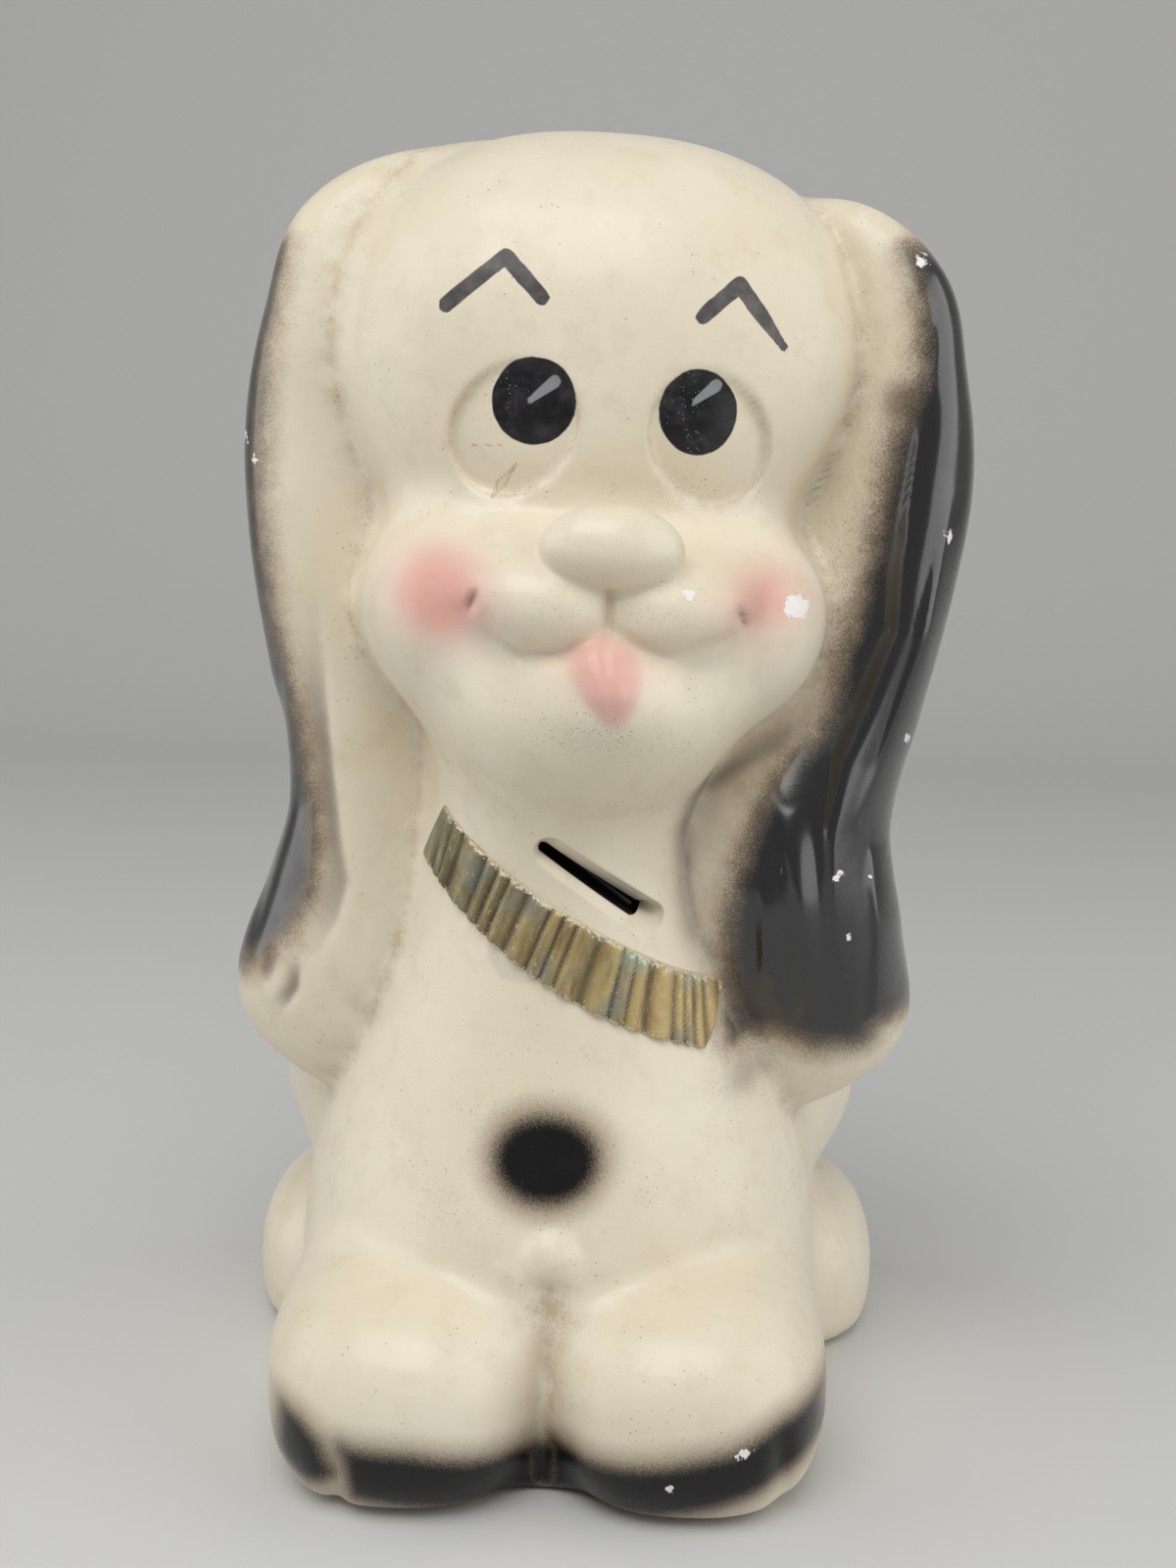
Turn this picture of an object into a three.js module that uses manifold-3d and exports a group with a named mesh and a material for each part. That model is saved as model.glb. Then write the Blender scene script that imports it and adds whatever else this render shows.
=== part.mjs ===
// Chalkware dog bank: a hollow plaster figure of a sitting spaniel, cast as a front and a back half in a
// mould that parts along the sides. The halves are luted together, a plaster plate closes the foot, and a
// rubber stopper in the plate lets the coins out. Millimetres, +Z up, the dog faces -Y and stands on z = 0.
import * as THREE from "three";
import { mergeVertices } from "three/addons/utils/BufferGeometryUtils.js";
import Module from "manifold-3d";

// The origin lies under the middle of the figure's outline, at this point of the sculpting frame.
const MIDDLE_X = 9;
const MIDDLE_Y = -6;

// Casting: wall, parting plane, floor and the rounding of the foot edge.
const CLEARANCE = 0.3;
const WALL = 8;
const SEAM_Y = 4;
const FLOOR = 15;
const FOOT_ROUND = 5;

// Posture: the figure leans sideways above LEAN_FOOT, the neck bends to one side, and the head is turned and
// set a little beside the body's middle.
const LEAN = 2.6;
const LEAN_PIVOT = 40;
const LEAN_FOOT = 50;
const LEAN_RUN = 90;
const HEAD_TURN = 6.4;
const HEAD_X = -4.5;
const NECK_BEND = { by: 6, at: 175, run: 38 };

// Body: oval sections from the ground to the top of the neck, by half width, front and back.
const BODY = [
  { z: 0, half: 74, front: -82, back: 80 },
  { z: 30, half: 75, front: -84, back: 82 },
  { z: 60, half: 73, front: -82, back: 80 },
  { z: 90, half: 66, front: -75, back: 74 },
  { z: 120, half: 55, front: -67, back: 66 },
  { z: 150, half: 45, front: -62, back: 58 },
  { z: 177, half: 38, front: -61, back: 52 },
  { z: 200, half: 35, front: -63, back: 48 },
  { z: 230, half: 36, front: -63, back: 46 },
];
const NECK_TOP = 235;
const NECK_ROUND = 20;

// Rounded forms of the body, one of each pair; square is the power that fills out the corners of a form.
const PAW = { at: [37.5, -55, 25], half: [37.5, 51, 34], square: 2.5, blend: 18 };
const HIP = { at: [56, 40, 82], half: [31, 44, 34], square: 2, blend: 14 };
const HIND_FOOT = { at: [65, 50, 17], half: [31, 42, 31], square: 2.4, blend: 10 };
const TAIL = { at: [0, 80, 30], half: [13, 14, 26], square: 2, blend: 8 };
const NAVEL = { at: [1, -78, 64], half: [7, 5, 7], square: 2, blend: 5 };

// Head, before it is turned. The skull narrows towards the cheeks, less on the side at -X, the crease under
// the jowls opens towards the mouth corners, and the tongue hangs to one side.
const SKULL = { at: [0, 2, 288], half: [74, 63, 66.5], square: 2.4 };
const SKULL_TAPER = { by: 0.17, uneven: 0.04, over: 40, from: 300, run: 52 };
const CHEEK = { at: [38.5, -34, 228.5], half: [23.5, 33, 24.5], square: 2, blend: 12 };
const MUZZLE = { at: [0, -38, 222], half: [46, 36, 30], square: 2, blend: 16 };
const JAW = { at: [0, -57, 207], half: [34, 28, 22], square: 2, blend: 12 };
const JOWL = { at: [17, -65, 234.5], half: [20.5, 20.5, 11.5], square: 2, tilt: 8 };
const JOWL_CREASE = { under: 3.5, wider: 5, aside: 12, run: 18, over: 15, from: 230, rise: 12 };
const NOSE = { at: [0, -80, 248.4], half: [17, 10, 10.8], square: 2, blend: 5, taper: 0.36 };
const NOSE_BRIDGE = { blend: 8, from: 247, rise: 9 };
const TONGUE = { at: [0, -84, 217], half: [8.6, 8, 10.5], square: 2, blend: 2.5, taper: 0.2, lean: 0.2 };
const EYE = { at: [24.8, 275.3], half: [17.8, 15.2], tilt: -57, depth: 1.7, edge: 2.4, face: -20 };
const HEAD_BLEND = 30;

// Ears: oval sections from the tip to the root, by the outer and inner side, front and back.
const EAR = [
  { z: 80, outer: 60, inner: 56, front: -16, back: 8 },
  { z: 92, outer: 79, inner: 50, front: -24, back: 14 },
  { z: 104, outer: 92, inner: 42, front: -30, back: 18 },
  { z: 120, outer: 96, inner: 38, front: -34, back: 20 },
  { z: 145, outer: 90, inner: 35, front: -34, back: 20 },
  { z: 172, outer: 84.5, inner: 36, front: -32, back: 21 },
  { z: 205, outer: 90, inner: 42, front: -30, back: 23 },
  { z: 240, outer: 97, inner: 48, front: -30, back: 25 },
  { z: 270, outer: 99.5, inner: 50, front: -30, back: 26 },
  { z: 300, outer: 94.5, inner: 48, front: -28, back: 25 },
  { z: 325, outer: 87, inner: 42, front: -22, back: 22 },
  { z: 348, outer: 63, inner: 34, front: -8, back: 14 },
];
const EAR_TIP = 84;
const EAR_TIP_ROUND = 14;
const EAR_TOP = 343;
const EAR_TOP_ROUND = 12;
// One ear is set higher, both fall back towards the skull, and the one at +X lies in over the neck. The
// fillet against head and body is narrow at the tip.
const EAR_CANT = { slope: 0.035, from: 230, run: 90 };
const EAR_SWEEP = { back: 18, from: 140, run: 90, past: 0.2 };
const EAR_OVER = { inward: 22, ahead: 13, at: 160, run: 42 };
const EAR_BLEND = { tip: 6, above: 18, from: 95, run: 45 };
const LOCK = { height: 1.5, waves: 2.6, sway: 0.35, swayLength: 188, from: 235, run: 90, behind: 10 };

// Collar: a reeded band moulded round the neck in a plane that drops towards +X.
const COLLAR_Z = 145;
const COLLAR_TILT = 32.2;
const COLLAR_WIDTH = 18.6;
const COLLAR_HEIGHT = 2.6;
const COLLAR_REED = 1;
const COLLAR_REEDS = 26;
const COLLAR_ROOT = 3;

// Coin slot above the collar: a straight slit with a mouth that is cut back upwards.
const SLOT_X = 8.2;
const SLOT_Z = 159.3;
const SLOT_TILT = -36;
const SLOT_LENGTH = 33;
const SLOT_WIDTH = 6;
const SLOT_CUT_BACK = 5;

// Foot plate in a rebate of the pour opening, and the round hole for the stopper.
const PLATE_HALF_X = 50;
const PLATE_HALF_Y = 56;
const PLATE_THICK = 8;
const PLATE_RECESS = 1;
const PLATE_LEDGE = 6;
const HOLE_RADIUS = 20;

// Stopper: a flange in a counterbore of the plate, dished below, and a hollow, tapered plug.
const FLANGE_LIP = 4.5;
const FLANGE_THICK = 3;
const PLUG_HEIGHT = 12;
const PLUG_TAPER = 0.8;
const PLUG_WALL = 4;
const PLUG_CROWN = 4;
const DISH_RADIUS = 17;
const DISH_DEPTH = 1;

// Fineness of the skins: columns across a half, rows from foot to crown, and the closer grid on the face.
const FRONT_GRID = { columns: 48, rows: 64 };
const BACK_GRID = { columns: 34, rows: 44 };
const HOLLOW_GRID = { columns: 18, rows: 22 };
const FACE_FOCUS = { at: [0, -70, 240], reach: 48, gain: 2.2, crowd: 0.4 };
const EVEN_FOCUS = { at: [0, 0, 0], reach: 1, gain: 0, crowd: 0 };
const TRAIL_STEPS = 240;
const RELAX_ROUNDS = 44;
const RELAX_PULL = 0.5;
const CROWN_ARC = 110;
const RAY_START = 220;
const RAY_STRIDE = 0.5;
const TOUCH = 0.03;
const SETTLE_STEPS = 3;
const SETTLE_REACH = 4;
const ROUND_SEGMENTS = 48;

const PLASTER = { color: "#e4dac2", roughness: 0.45, metalness: 0 };
const BARE_PLASTER = { color: "#d9d2c1", roughness: 0.9, metalness: 0 };
const RUBBER = { color: "#2a2826", roughness: 0.7, metalness: 0 };

const radians = THREE.MathUtils.degToRad;
const clamp = THREE.MathUtils.clamp;
const smoothstep = THREE.MathUtils.smoothstep;

// Joins two distances with a fillet of about the given size.
function join(a, b, fillet) {
  const h = Math.max(fillet - Math.abs(a - b), 0) / fillet;
  return Math.min(a, b) - (h * h * fillet) / 4;
}

// Keeps what two distances share, with a rounded edge.
function trim(a, b, round) {
  return -join(-a, -b, round);
}

// Distance to a rounded form, from how far out of it the point lies along the line from its centre.
function blob(x, y, z, form) {
  const dx = x - form.at[0];
  const dy = y - form.at[1];
  const dz = z - form.at[2];
  const ax = Math.abs(dx) / form.half[0];
  const ay = Math.abs(dy) / form.half[1];
  const az = Math.abs(dz) / form.half[2];
  if (form.square === 2) {
    const level = Math.hypot(ax, ay, az);
    const slope = Math.hypot(ax / form.half[0], ay / form.half[1], az / form.half[2]);
    return (level * (level - 1)) / Math.max(slope, 1e-9);
  }
  const level = (ax ** form.square + ay ** form.square + az ** form.square) ** (1 / form.square);
  return Math.hypot(dx, dy, dz) * (1 - 1 / Math.max(level, 1e-6));
}

// Distance to an oval in a plane.
function oval(x, y, halfX, halfY) {
  const level = Math.hypot(x / halfX, y / halfY);
  const slope = Math.hypot(x / halfX ** 2, y / halfY ** 2);
  return (level * (level - 1)) / Math.max(slope, 1e-9);
}

// A smooth curve through one measure of a row of sections, at height z.
function measure(sections, key, z) {
  const last = sections.length - 1;
  const at = clamp(z, sections[0].z, sections[last].z);
  let i = 0;
  while (i < last - 1 && sections[i + 1].z <= at) i += 1;
  const slope = (k) => {
    const a = sections[Math.max(k - 1, 0)];
    const b = sections[Math.min(k + 1, last)];
    return (b[key] - a[key]) / (b.z - a.z);
  };
  const run = sections[i + 1].z - sections[i].z;
  const t = (at - sections[i].z) / run;
  const lower = (1 + 2 * t) * (1 - t) ** 2 * sections[i][key] + t * (1 - t) ** 2 * run * slope(i);
  const upper = t * t * (3 - 2 * t) * sections[i + 1][key] + t * t * (t - 1) * run * slope(i + 1);
  return lower + upper;
}

// The upright pose of a point: the lean is taken out.
function upright(x, y, z) {
  const angle = radians(LEAN) * clamp((z - LEAN_FOOT) / LEAN_RUN, 0, 1);
  const rise = z - LEAN_PIVOT;
  return [
    Math.cos(angle) * x - Math.sin(angle) * rise,
    y,
    Math.sin(angle) * x + Math.cos(angle) * rise + LEAN_PIVOT,
  ];
}

function trunk(x, y, z) {
  const bend = NECK_BEND.by * Math.exp(-(((z - NECK_BEND.at) / NECK_BEND.run) ** 2));
  const half = measure(BODY, "half", z);
  const front = measure(BODY, "front", z);
  const back = measure(BODY, "back", z);
  const d = oval(x + bend, y - (front + back) / 2, half, (back - front) / 2);
  return trim(d, z - NECK_TOP, NECK_ROUND);
}

function body(x, y, z) {
  const side = Math.abs(x);
  let d = trunk(x, y, z);
  d = join(d, blob(side, y, z, PAW), PAW.blend);
  d = join(d, blob(side, y, z, HIP), HIP.blend);
  d = join(d, blob(side, y, z, HIND_FOOT), HIND_FOOT.blend);
  d = join(d, blob(side, y, z, TAIL), TAIL.blend);
  return join(d, blob(x, y, z, NAVEL), NAVEL.blend);
}

// The place of a point in front of the turned head: sideways from its middle, and ahead.
function faceOn(x, y) {
  const turn = radians(HEAD_TURN);
  const dx = x - HEAD_X;
  return [Math.cos(turn) * dx + Math.sin(turn) * y, Math.cos(turn) * y - Math.sin(turn) * dx];
}

function skull(x, y, z) {
  const [across, ahead] = faceOn(x, y);
  const by = SKULL_TAPER.by + SKULL_TAPER.uneven * clamp(across / SKULL_TAPER.over, -1, 1);
  const taper = 1 - by * smoothstep(SKULL_TAPER.from - z, 0, SKULL_TAPER.run);
  return blob(across / taper, ahead, z, SKULL);
}

function head(x, y, z) {
  const [across, ahead] = faceOn(x, y);
  const side = Math.abs(across);
  let d = skull(x, y, z);
  d = join(d, blob(side, ahead, z, CHEEK), CHEEK.blend);
  d = join(d, blob(side, ahead, z, MUZZLE), MUZZLE.blend);
  d = join(d, blob(side, ahead, z, JAW), JAW.blend);
  const tilt = radians(JOWL.tilt);
  const out = side - JOWL.at[0];
  const up = z - JOWL.at[2];
  const jowlX = Math.cos(tilt) * out + Math.sin(tilt) * up + JOWL.at[0];
  const jowlZ = Math.cos(tilt) * up - Math.sin(tilt) * out + JOWL.at[2];
  const soften = clamp((z - JOWL_CREASE.from) / JOWL_CREASE.rise, 0, 1);
  const aside = clamp((side - JOWL_CREASE.aside) / JOWL_CREASE.run, 0, 1);
  const under = JOWL_CREASE.under + JOWL_CREASE.wider * aside;
  const crease = under + (JOWL_CREASE.over - under) * soften;
  d = join(d, blob(jowlX, ahead, jowlZ, JOWL), crease);
  const drop = clamp((NOSE.at[2] - z) / NOSE.half[2], 0, 1);
  const narrow = 1 - NOSE.taper * drop ** 2;
  const bridge = NOSE_BRIDGE.blend * clamp((z - NOSE_BRIDGE.from) / NOSE_BRIDGE.rise, 0, 1);
  d = join(d, blob(side / narrow, ahead, z, NOSE), NOSE.blend + bridge);
  const hang = TONGUE.at[2] - z;
  const point = 1 - TONGUE.taper * clamp(hang / TONGUE.half[2], -1, 1);
  d = join(d, blob((across - TONGUE.lean * hang) / point, ahead, z, TONGUE), TONGUE.blend);
  if (ahead > EYE.face) return d;
  const roll = radians(EYE.tilt);
  const eyeX = side - EYE.at[0];
  const eyeZ = z - EYE.at[1];
  const long = Math.cos(roll) * eyeX + Math.sin(roll) * eyeZ;
  const short = Math.cos(roll) * eyeZ - Math.sin(roll) * eyeX;
  const rim = oval(long, short, EYE.half[0], EYE.half[1]);
  return d + EYE.depth * clamp(0.5 - rim / EYE.edge, 0, 1);
}

function ears(x, y, height) {
  const side = Math.abs(x);
  const cant = smoothstep(height - EAR_CANT.from, 0, EAR_CANT.run);
  const z = height + EAR_CANT.slope * x * cant;
  const over = x > 0 ? Math.exp(-(((z - EAR_OVER.at) / EAR_OVER.run) ** 2)) : 0;
  const outer = measure(EAR, "outer", z);
  const inner = measure(EAR, "inner", z) - EAR_OVER.inward * over;
  const front = measure(EAR, "front", z) - EAR_OVER.ahead * over;
  const back = measure(EAR, "back", z);
  const sweep = EAR_SWEEP.back * smoothstep(z - EAR_SWEEP.from, 0, EAR_SWEEP.run);
  const inwards = clamp((outer - side) / (outer - inner), -EAR_SWEEP.past, 1 + EAR_SWEEP.past);
  const midY = (front + back) / 2 + sweep * (inwards - 0.5);
  let d = oval(side - (outer + inner) / 2, y - midY, (outer - inner) / 2, (back - front) / 2);
  if (y < midY + LOCK.behind) {
    const across = clamp((side - inner) / (outer - inner), 0, 1);
    const sway = LOCK.sway * Math.sin((2 * Math.PI * (z - EAR_TIP)) / LOCK.swayLength);
    const fade = clamp((LOCK.from - z) / LOCK.run, 0, 1);
    d -= LOCK.height * fade * Math.sin(2 * Math.PI * (LOCK.waves * across + sway));
  }
  d = trim(d, EAR_TIP - z, EAR_TIP_ROUND);
  return trim(d, z - EAR_TOP, EAR_TOP_ROUND);
}

// Outer skin, drawn in at the foot edge as a quarter round.
function skin(x, y, z) {
  const p = upright(x, y, z);
  let d = join(head(...p), body(...p), HEAD_BLEND);
  const above = smoothstep(p[2] - EAR_BLEND.from, 0, EAR_BLEND.run);
  d = join(d, ears(...p), EAR_BLEND.tip + (EAR_BLEND.above - EAR_BLEND.tip) * above);
  const low = clamp(FOOT_ROUND - z, 0, FOOT_ROUND);
  return d + FOOT_ROUND - Math.sqrt(FOOT_ROUND ** 2 - low ** 2);
}

// Inside of the wall: the slip fills ears, paws and muzzle, and leaves skull and trunk hollow.
function hollow(x, y, z) {
  const p = upright(x, y, z);
  return join(skull(...p), trunk(...p), HEAD_BLEND) + WALL;
}

function bareTrunk(x, y, z) {
  return trunk(...upright(x, y, z));
}

// The outermost point of a field's zero surface on a ray.
function cast(field, origin, direction) {
  const p = new THREE.Vector3();
  let r = RAY_START;
  let d = RAY_START;
  while (d > TOUCH && r > 0) {
    p.copy(direction).multiplyScalar(r).add(origin);
    d = field(p.x, p.y, p.z);
    r -= Math.max(RAY_STRIDE * d, TOUCH);
  }
  return p;
}

// Moves a point onto the zero surface along the free axes of its slope.
function settle(field, p, free) {
  const h = TOUCH;
  for (let step = 0; step < SETTLE_STEPS; step += 1) {
    const d = field(p.x, p.y, p.z);
    const gx = free.x * (field(p.x + h, p.y, p.z) - field(p.x - h, p.y, p.z)) / (2 * h);
    const gy = free.y * (field(p.x, p.y + h, p.z) - field(p.x, p.y - h, p.z)) / (2 * h);
    const gz = free.z * (field(p.x, p.y, p.z + h) - field(p.x, p.y, p.z - h)) / (2 * h);
    const pull = clamp(d / Math.max(gx * gx + gy * gy + gz * gz, TOUCH), -SETTLE_REACH, SETTLE_REACH);
    p.x -= pull * gx;
    p.y -= pull * gy;
    p.z -= pull * gz;
  }
}

// Half of a skin as a grid of points: its first row lies in the plane of the foot, its two sides and its last
// row in the parting plane. Each column follows the surface up from the foot and over the crown, with its
// points closer together where the focus is, and the grid is then evened out a little.
function halfGrid(field, { side, plane, foot, grid, focus }) {
  const { columns, rows } = grid;
  const centre = new THREE.Vector3(...focus.at);
  const weight = (a, b) => {
    const far = (centre.distanceTo(a) + centre.distanceTo(b)) / (2 * focus.reach);
    return 1 + focus.gain * Math.exp(-(far ** 2));
  };
  const straight = SKULL.at[2] - foot;
  const ray = (u, climb) => {
    const level = new THREE.Vector3(Math.sin((u * Math.PI) / 2), side * Math.cos((u * Math.PI) / 2), 0);
    const crown = new THREE.Vector3(Math.sin((u * Math.PI) / 4), 0, Math.cos((u * Math.PI) / 4));
    const swing = Math.max(climb - straight, 0) / CROWN_ARC;
    const between = level.angleTo(crown);
    const direction = level.multiplyScalar(Math.sin((1 - swing) * between));
    direction.addScaledVector(crown, Math.sin(swing * between)).normalize();
    return cast(field, new THREE.Vector3(0, plane, foot + Math.min(climb, straight)), direction);
  };
  const points = [];
  for (let i = 0; i <= columns; i += 1) {
    const even = (2 * i) / columns - 1;
    const u = even - (focus.crowd * Math.sin(Math.PI * even)) / Math.PI;
    const trail = [];
    const length = [0];
    for (let k = 0; k <= TRAIL_STEPS; k += 1) {
      trail.push(ray(u, (k / TRAIL_STEPS) * (straight + CROWN_ARC)));
    }
    for (let k = 1; k <= TRAIL_STEPS; k += 1) {
      const step = trail[k].distanceTo(trail[k - 1]);
      length.push(length[k - 1] + step * weight(trail[k], trail[k - 1]));
    }
    for (let j = 0, k = 0; j <= rows; j += 1) {
      const goal = (j / rows) * length[TRAIL_STEPS];
      while (k < TRAIL_STEPS - 1 && length[k + 1] < goal) k += 1;
      const t = clamp((goal - length[k]) / (length[k + 1] - length[k]), 0, 1);
      points.push(trail[k].clone().lerp(trail[k + 1], t));
    }
  }
  const index = (i, j) => i * (rows + 1) + j;
  for (let round = 0; round < RELAX_ROUNDS; round += 1) {
    const moved = points.map((p) => p.clone());
    for (let i = 0; i <= columns; i += 1) {
      for (let j = 0; j <= rows; j += 1) {
        const onSide = i === 0 || i === columns;
        const onEnd = j === 0 || j === rows;
        const p = points[index(i, j)];
        const target = moved[index(i, j)];
        if (!(onSide && onEnd)) {
          const near = [];
          if (!onSide) near.push(points[index(i - 1, j)], points[index(i + 1, j)]);
          if (!onEnd) near.push(points[index(i, j - 1)], points[index(i, j + 1)]);
          const sum = new THREE.Vector3();
          let total = 0;
          for (const q of near) {
            sum.addScaledVector(q, weight(p, q));
            total += weight(p, q);
          }
          target.lerp(sum.divideScalar(total), RELAX_PULL);
        }
        const free = { x: 1, y: onSide || j === rows ? 0 : 1, z: j === 0 ? 0 : 1 };
        if (!free.y) target.y = plane;
        if (!free.z) target.z = foot;
        settle(field, target, free);
        target.z = Math.max(target.z, foot + TOUCH * j);
      }
    }
    moved.forEach((p, k) => points[k].copy(p));
  }
  return { points, columns, rows, index };
}

// Triangles of a flat face through a ring of points, facing the given way.
function flatFace(ring, axisA, axisB, facing) {
  const contour = ring.map((p) => new THREE.Vector2(p[axisA], p[axisB]));
  const corners = [];
  for (const [a, b, c] of THREE.ShapeUtils.triangulateShape(contour, [])) {
    const edge = ring[b].clone().sub(ring[a]);
    const normal = edge.cross(ring[c].clone().sub(ring[a]));
    corners.push(ring[a], ...(normal.dot(facing) > 0 ? [ring[b], ring[c]] : [ring[c], ring[b]]));
  }
  return corners;
}

// A half skin closed by its flat parting face and its flat foot.
function halfBody(field, options) {
  const { points, columns, rows, index } = halfGrid(field, options);
  const corners = [];
  for (let j = 0; j < rows; j += 1) {
    for (let i = 0; i < columns; i += 1) {
      const a = points[index(i, j)];
      const b = points[index(i + 1, j)];
      const c = points[index(i + 1, j + 1)];
      const d = points[index(i, j + 1)];
      const quad = a.distanceTo(c) < b.distanceTo(d) ? [a, b, c, a, c, d] : [a, b, d, b, c, d];
      corners.push(...(options.side < 0 ? quad : quad.reverse()));
    }
  }
  const foot = [];
  for (let i = 0; i <= columns; i += 1) foot.push(points[index(i, 0)]);
  const ring = [];
  for (let j = 0; j <= rows; j += 1) ring.push(points[index(0, j)]);
  for (let i = 1; i <= columns; i += 1) ring.push(points[index(i, rows)]);
  for (let j = rows - 1; j >= 0; j -= 1) ring.push(points[index(columns, j)]);
  corners.push(...flatFace(ring, "x", "z", new THREE.Vector3(0, -options.side, 0)));
  corners.push(...flatFace(foot, "x", "y", new THREE.Vector3(0, 0, -1)));
  return new THREE.BufferGeometry().setFromPoints(corners);
}

const wasm = await Module();
wasm.setup();

function solid(geometry) {
  const bare = geometry.index ? geometry.toNonIndexed() : geometry.clone();
  bare.deleteAttribute("normal");
  bare.deleteAttribute("uv");
  const merged = mergeVertices(bare, 1e-4);
  return new wasm.Manifold(
    new wasm.Mesh({
      numProp: 3,
      vertProperties: new Float32Array(merged.attributes.position.array),
      triVerts: new Uint32Array(merged.index.array),
    }),
  );
}

function meshOf(name, made, look) {
  const out = made.getMesh();
  const geometry = new THREE.BufferGeometry();
  geometry.setAttribute("position", new THREE.BufferAttribute(out.vertProperties, 3));
  geometry.setIndex(new THREE.BufferAttribute(out.triVerts, 1));
  geometry.computeVertexNormals();
  const mesh = new THREE.Mesh(geometry, new THREE.MeshStandardMaterial(look));
  mesh.name = name;
  return mesh;
}

// An upright slab with an oval outline.
function ovalSlab(halfX, halfY, bottom, top) {
  const outline = new THREE.Shape().absellipse(0, 0, halfX, halfY, 0, 2 * Math.PI);
  const options = { depth: top - bottom, bevelEnabled: false, curveSegments: ROUND_SEGMENTS / 2 };
  return solid(new THREE.ExtrudeGeometry(outline, options).translate(0, 0, bottom));
}

// Half of the collar: a reeded band that follows the trunk, with its ends in the parting plane.
function collarHalf(side, plane) {
  const tilt = radians(COLLAR_TILT);
  const across = new THREE.Vector3(Math.sin(tilt), 0, Math.cos(tilt));
  const sections = [];
  for (let k = 0; k <= 2 * COLLAR_REEDS; k += 1) {
    const angle = (k / COLLAR_REEDS - 1) * (Math.PI / 2);
    const out = new THREE.Vector3(Math.sin(angle), side * Math.cos(angle), -Math.tan(tilt) * Math.sin(angle));
    out.normalize();
    const height = COLLAR_HEIGHT - (k % 2) * COLLAR_REED;
    const section = [];
    for (const edge of [-COLLAR_WIDTH / 2, COLLAR_WIDTH / 2]) {
      const origin = new THREE.Vector3(0, plane, COLLAR_Z).addScaledVector(across, edge);
      const onTrunk = cast(bareTrunk, origin, out);
      section.push(onTrunk.clone().addScaledVector(out, -COLLAR_ROOT));
      section.push(onTrunk.clone().addScaledVector(out, height));
    }
    sections.push([section[0], section[1], section[3], section[2]]);
  }
  const corners = [];
  const quad = (a, b, c, d) => corners.push(...(side < 0 ? [a, b, c, a, c, d] : [a, c, b, a, d, c]));
  const last = sections.length - 1;
  for (let k = 0; k < last; k += 1) {
    for (let e = 0; e < 4; e += 1) {
      const f = (e + 1) % 4;
      quad(sections[k][e], sections[k + 1][e], sections[k + 1][f], sections[k][f]);
    }
  }
  quad(...sections[0]);
  quad(...sections[last].toReversed());
  return solid(new THREE.BufferGeometry().setFromPoints(corners));
}

// The slit of the coin slot, run out along -Y from a depth behind the wall and rising over each wall's depth.
function slotCut(behind, rise) {
  const round = SLOT_WIDTH / 2;
  const reach = SLOT_LENGTH / 2 - round;
  const outline = new THREE.Shape();
  outline.absarc(reach, 0, round, -Math.PI / 2, Math.PI / 2);
  outline.absarc(-reach, 0, round, Math.PI / 2, (3 * Math.PI) / 2);
  const depth = behind - BODY[0].front;
  const slit = new THREE.ExtrudeGeometry(outline, { depth, bevelEnabled: false, curveSegments: 6 });
  const tilt = radians(SLOT_TILT);
  const along = new THREE.Vector3(Math.cos(tilt), 0, Math.sin(tilt));
  const up = new THREE.Vector3(-Math.sin(tilt), 0, Math.cos(tilt));
  const out = new THREE.Vector3(0, -1, 0).addScaledVector(up, rise / WALL);
  const inside = cast(hollow, new THREE.Vector3(SLOT_X, SEAM_Y, SLOT_Z), new THREE.Vector3(0, -1, 0));
  inside.y += behind;
  const place = new THREE.Matrix4().makeBasis(along, up, out).setPosition(inside);
  return solid(slit.applyMatrix4(place));
}

const plateTop = PLATE_RECESS + PLATE_THICK;
const pourOpening = ovalSlab(PLATE_HALF_X - PLATE_LEDGE, PLATE_HALF_Y - PLATE_LEDGE, -1, FLOOR + 1);
const rebate = ovalSlab(PLATE_HALF_X + CLEARANCE, PLATE_HALF_Y + CLEARANCE, -1, plateTop + CLEARANCE);

function shellHalf(side, grid, focus) {
  const plane = SEAM_Y + (side * CLEARANCE) / 2;
  const outside = solid(halfBody(skin, { side, plane, foot: 0, grid, focus }));
  const past = { side, plane: SEAM_Y - side, foot: FLOOR, grid: HOLLOW_GRID, focus: EVEN_FOCUS };
  const inside = solid(halfBody(hollow, past));
  return outside.add(collarHalf(side, plane)).subtract(inside).subtract(pourOpening).subtract(rebate);
}

const slit = slotCut(2 * WALL, 0);
const slitMouth = slotCut(0, SLOT_CUT_BACK);
const frontShell = shellHalf(-1, FRONT_GRID, FACE_FOCUS).subtract(slit).subtract(slitMouth);
const backShell = shellHalf(1, BACK_GRID, EVEN_FOCUS);

const flangeBottom = PLATE_RECESS + CLEARANCE;
const flangeTop = flangeBottom + FLANGE_THICK;
const flangeRadius = HOLE_RADIUS + FLANGE_LIP;
const hole = ovalSlab(HOLE_RADIUS, HOLE_RADIUS, 0, FLOOR);
const seatRadius = flangeRadius + CLEARANCE;
const counterbore = ovalSlab(seatRadius, seatRadius, 0, flangeTop + CLEARANCE);
const disc = ovalSlab(PLATE_HALF_X, PLATE_HALF_Y, PLATE_RECESS, plateTop);
const plate = disc.subtract(hole).subtract(counterbore);

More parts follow.
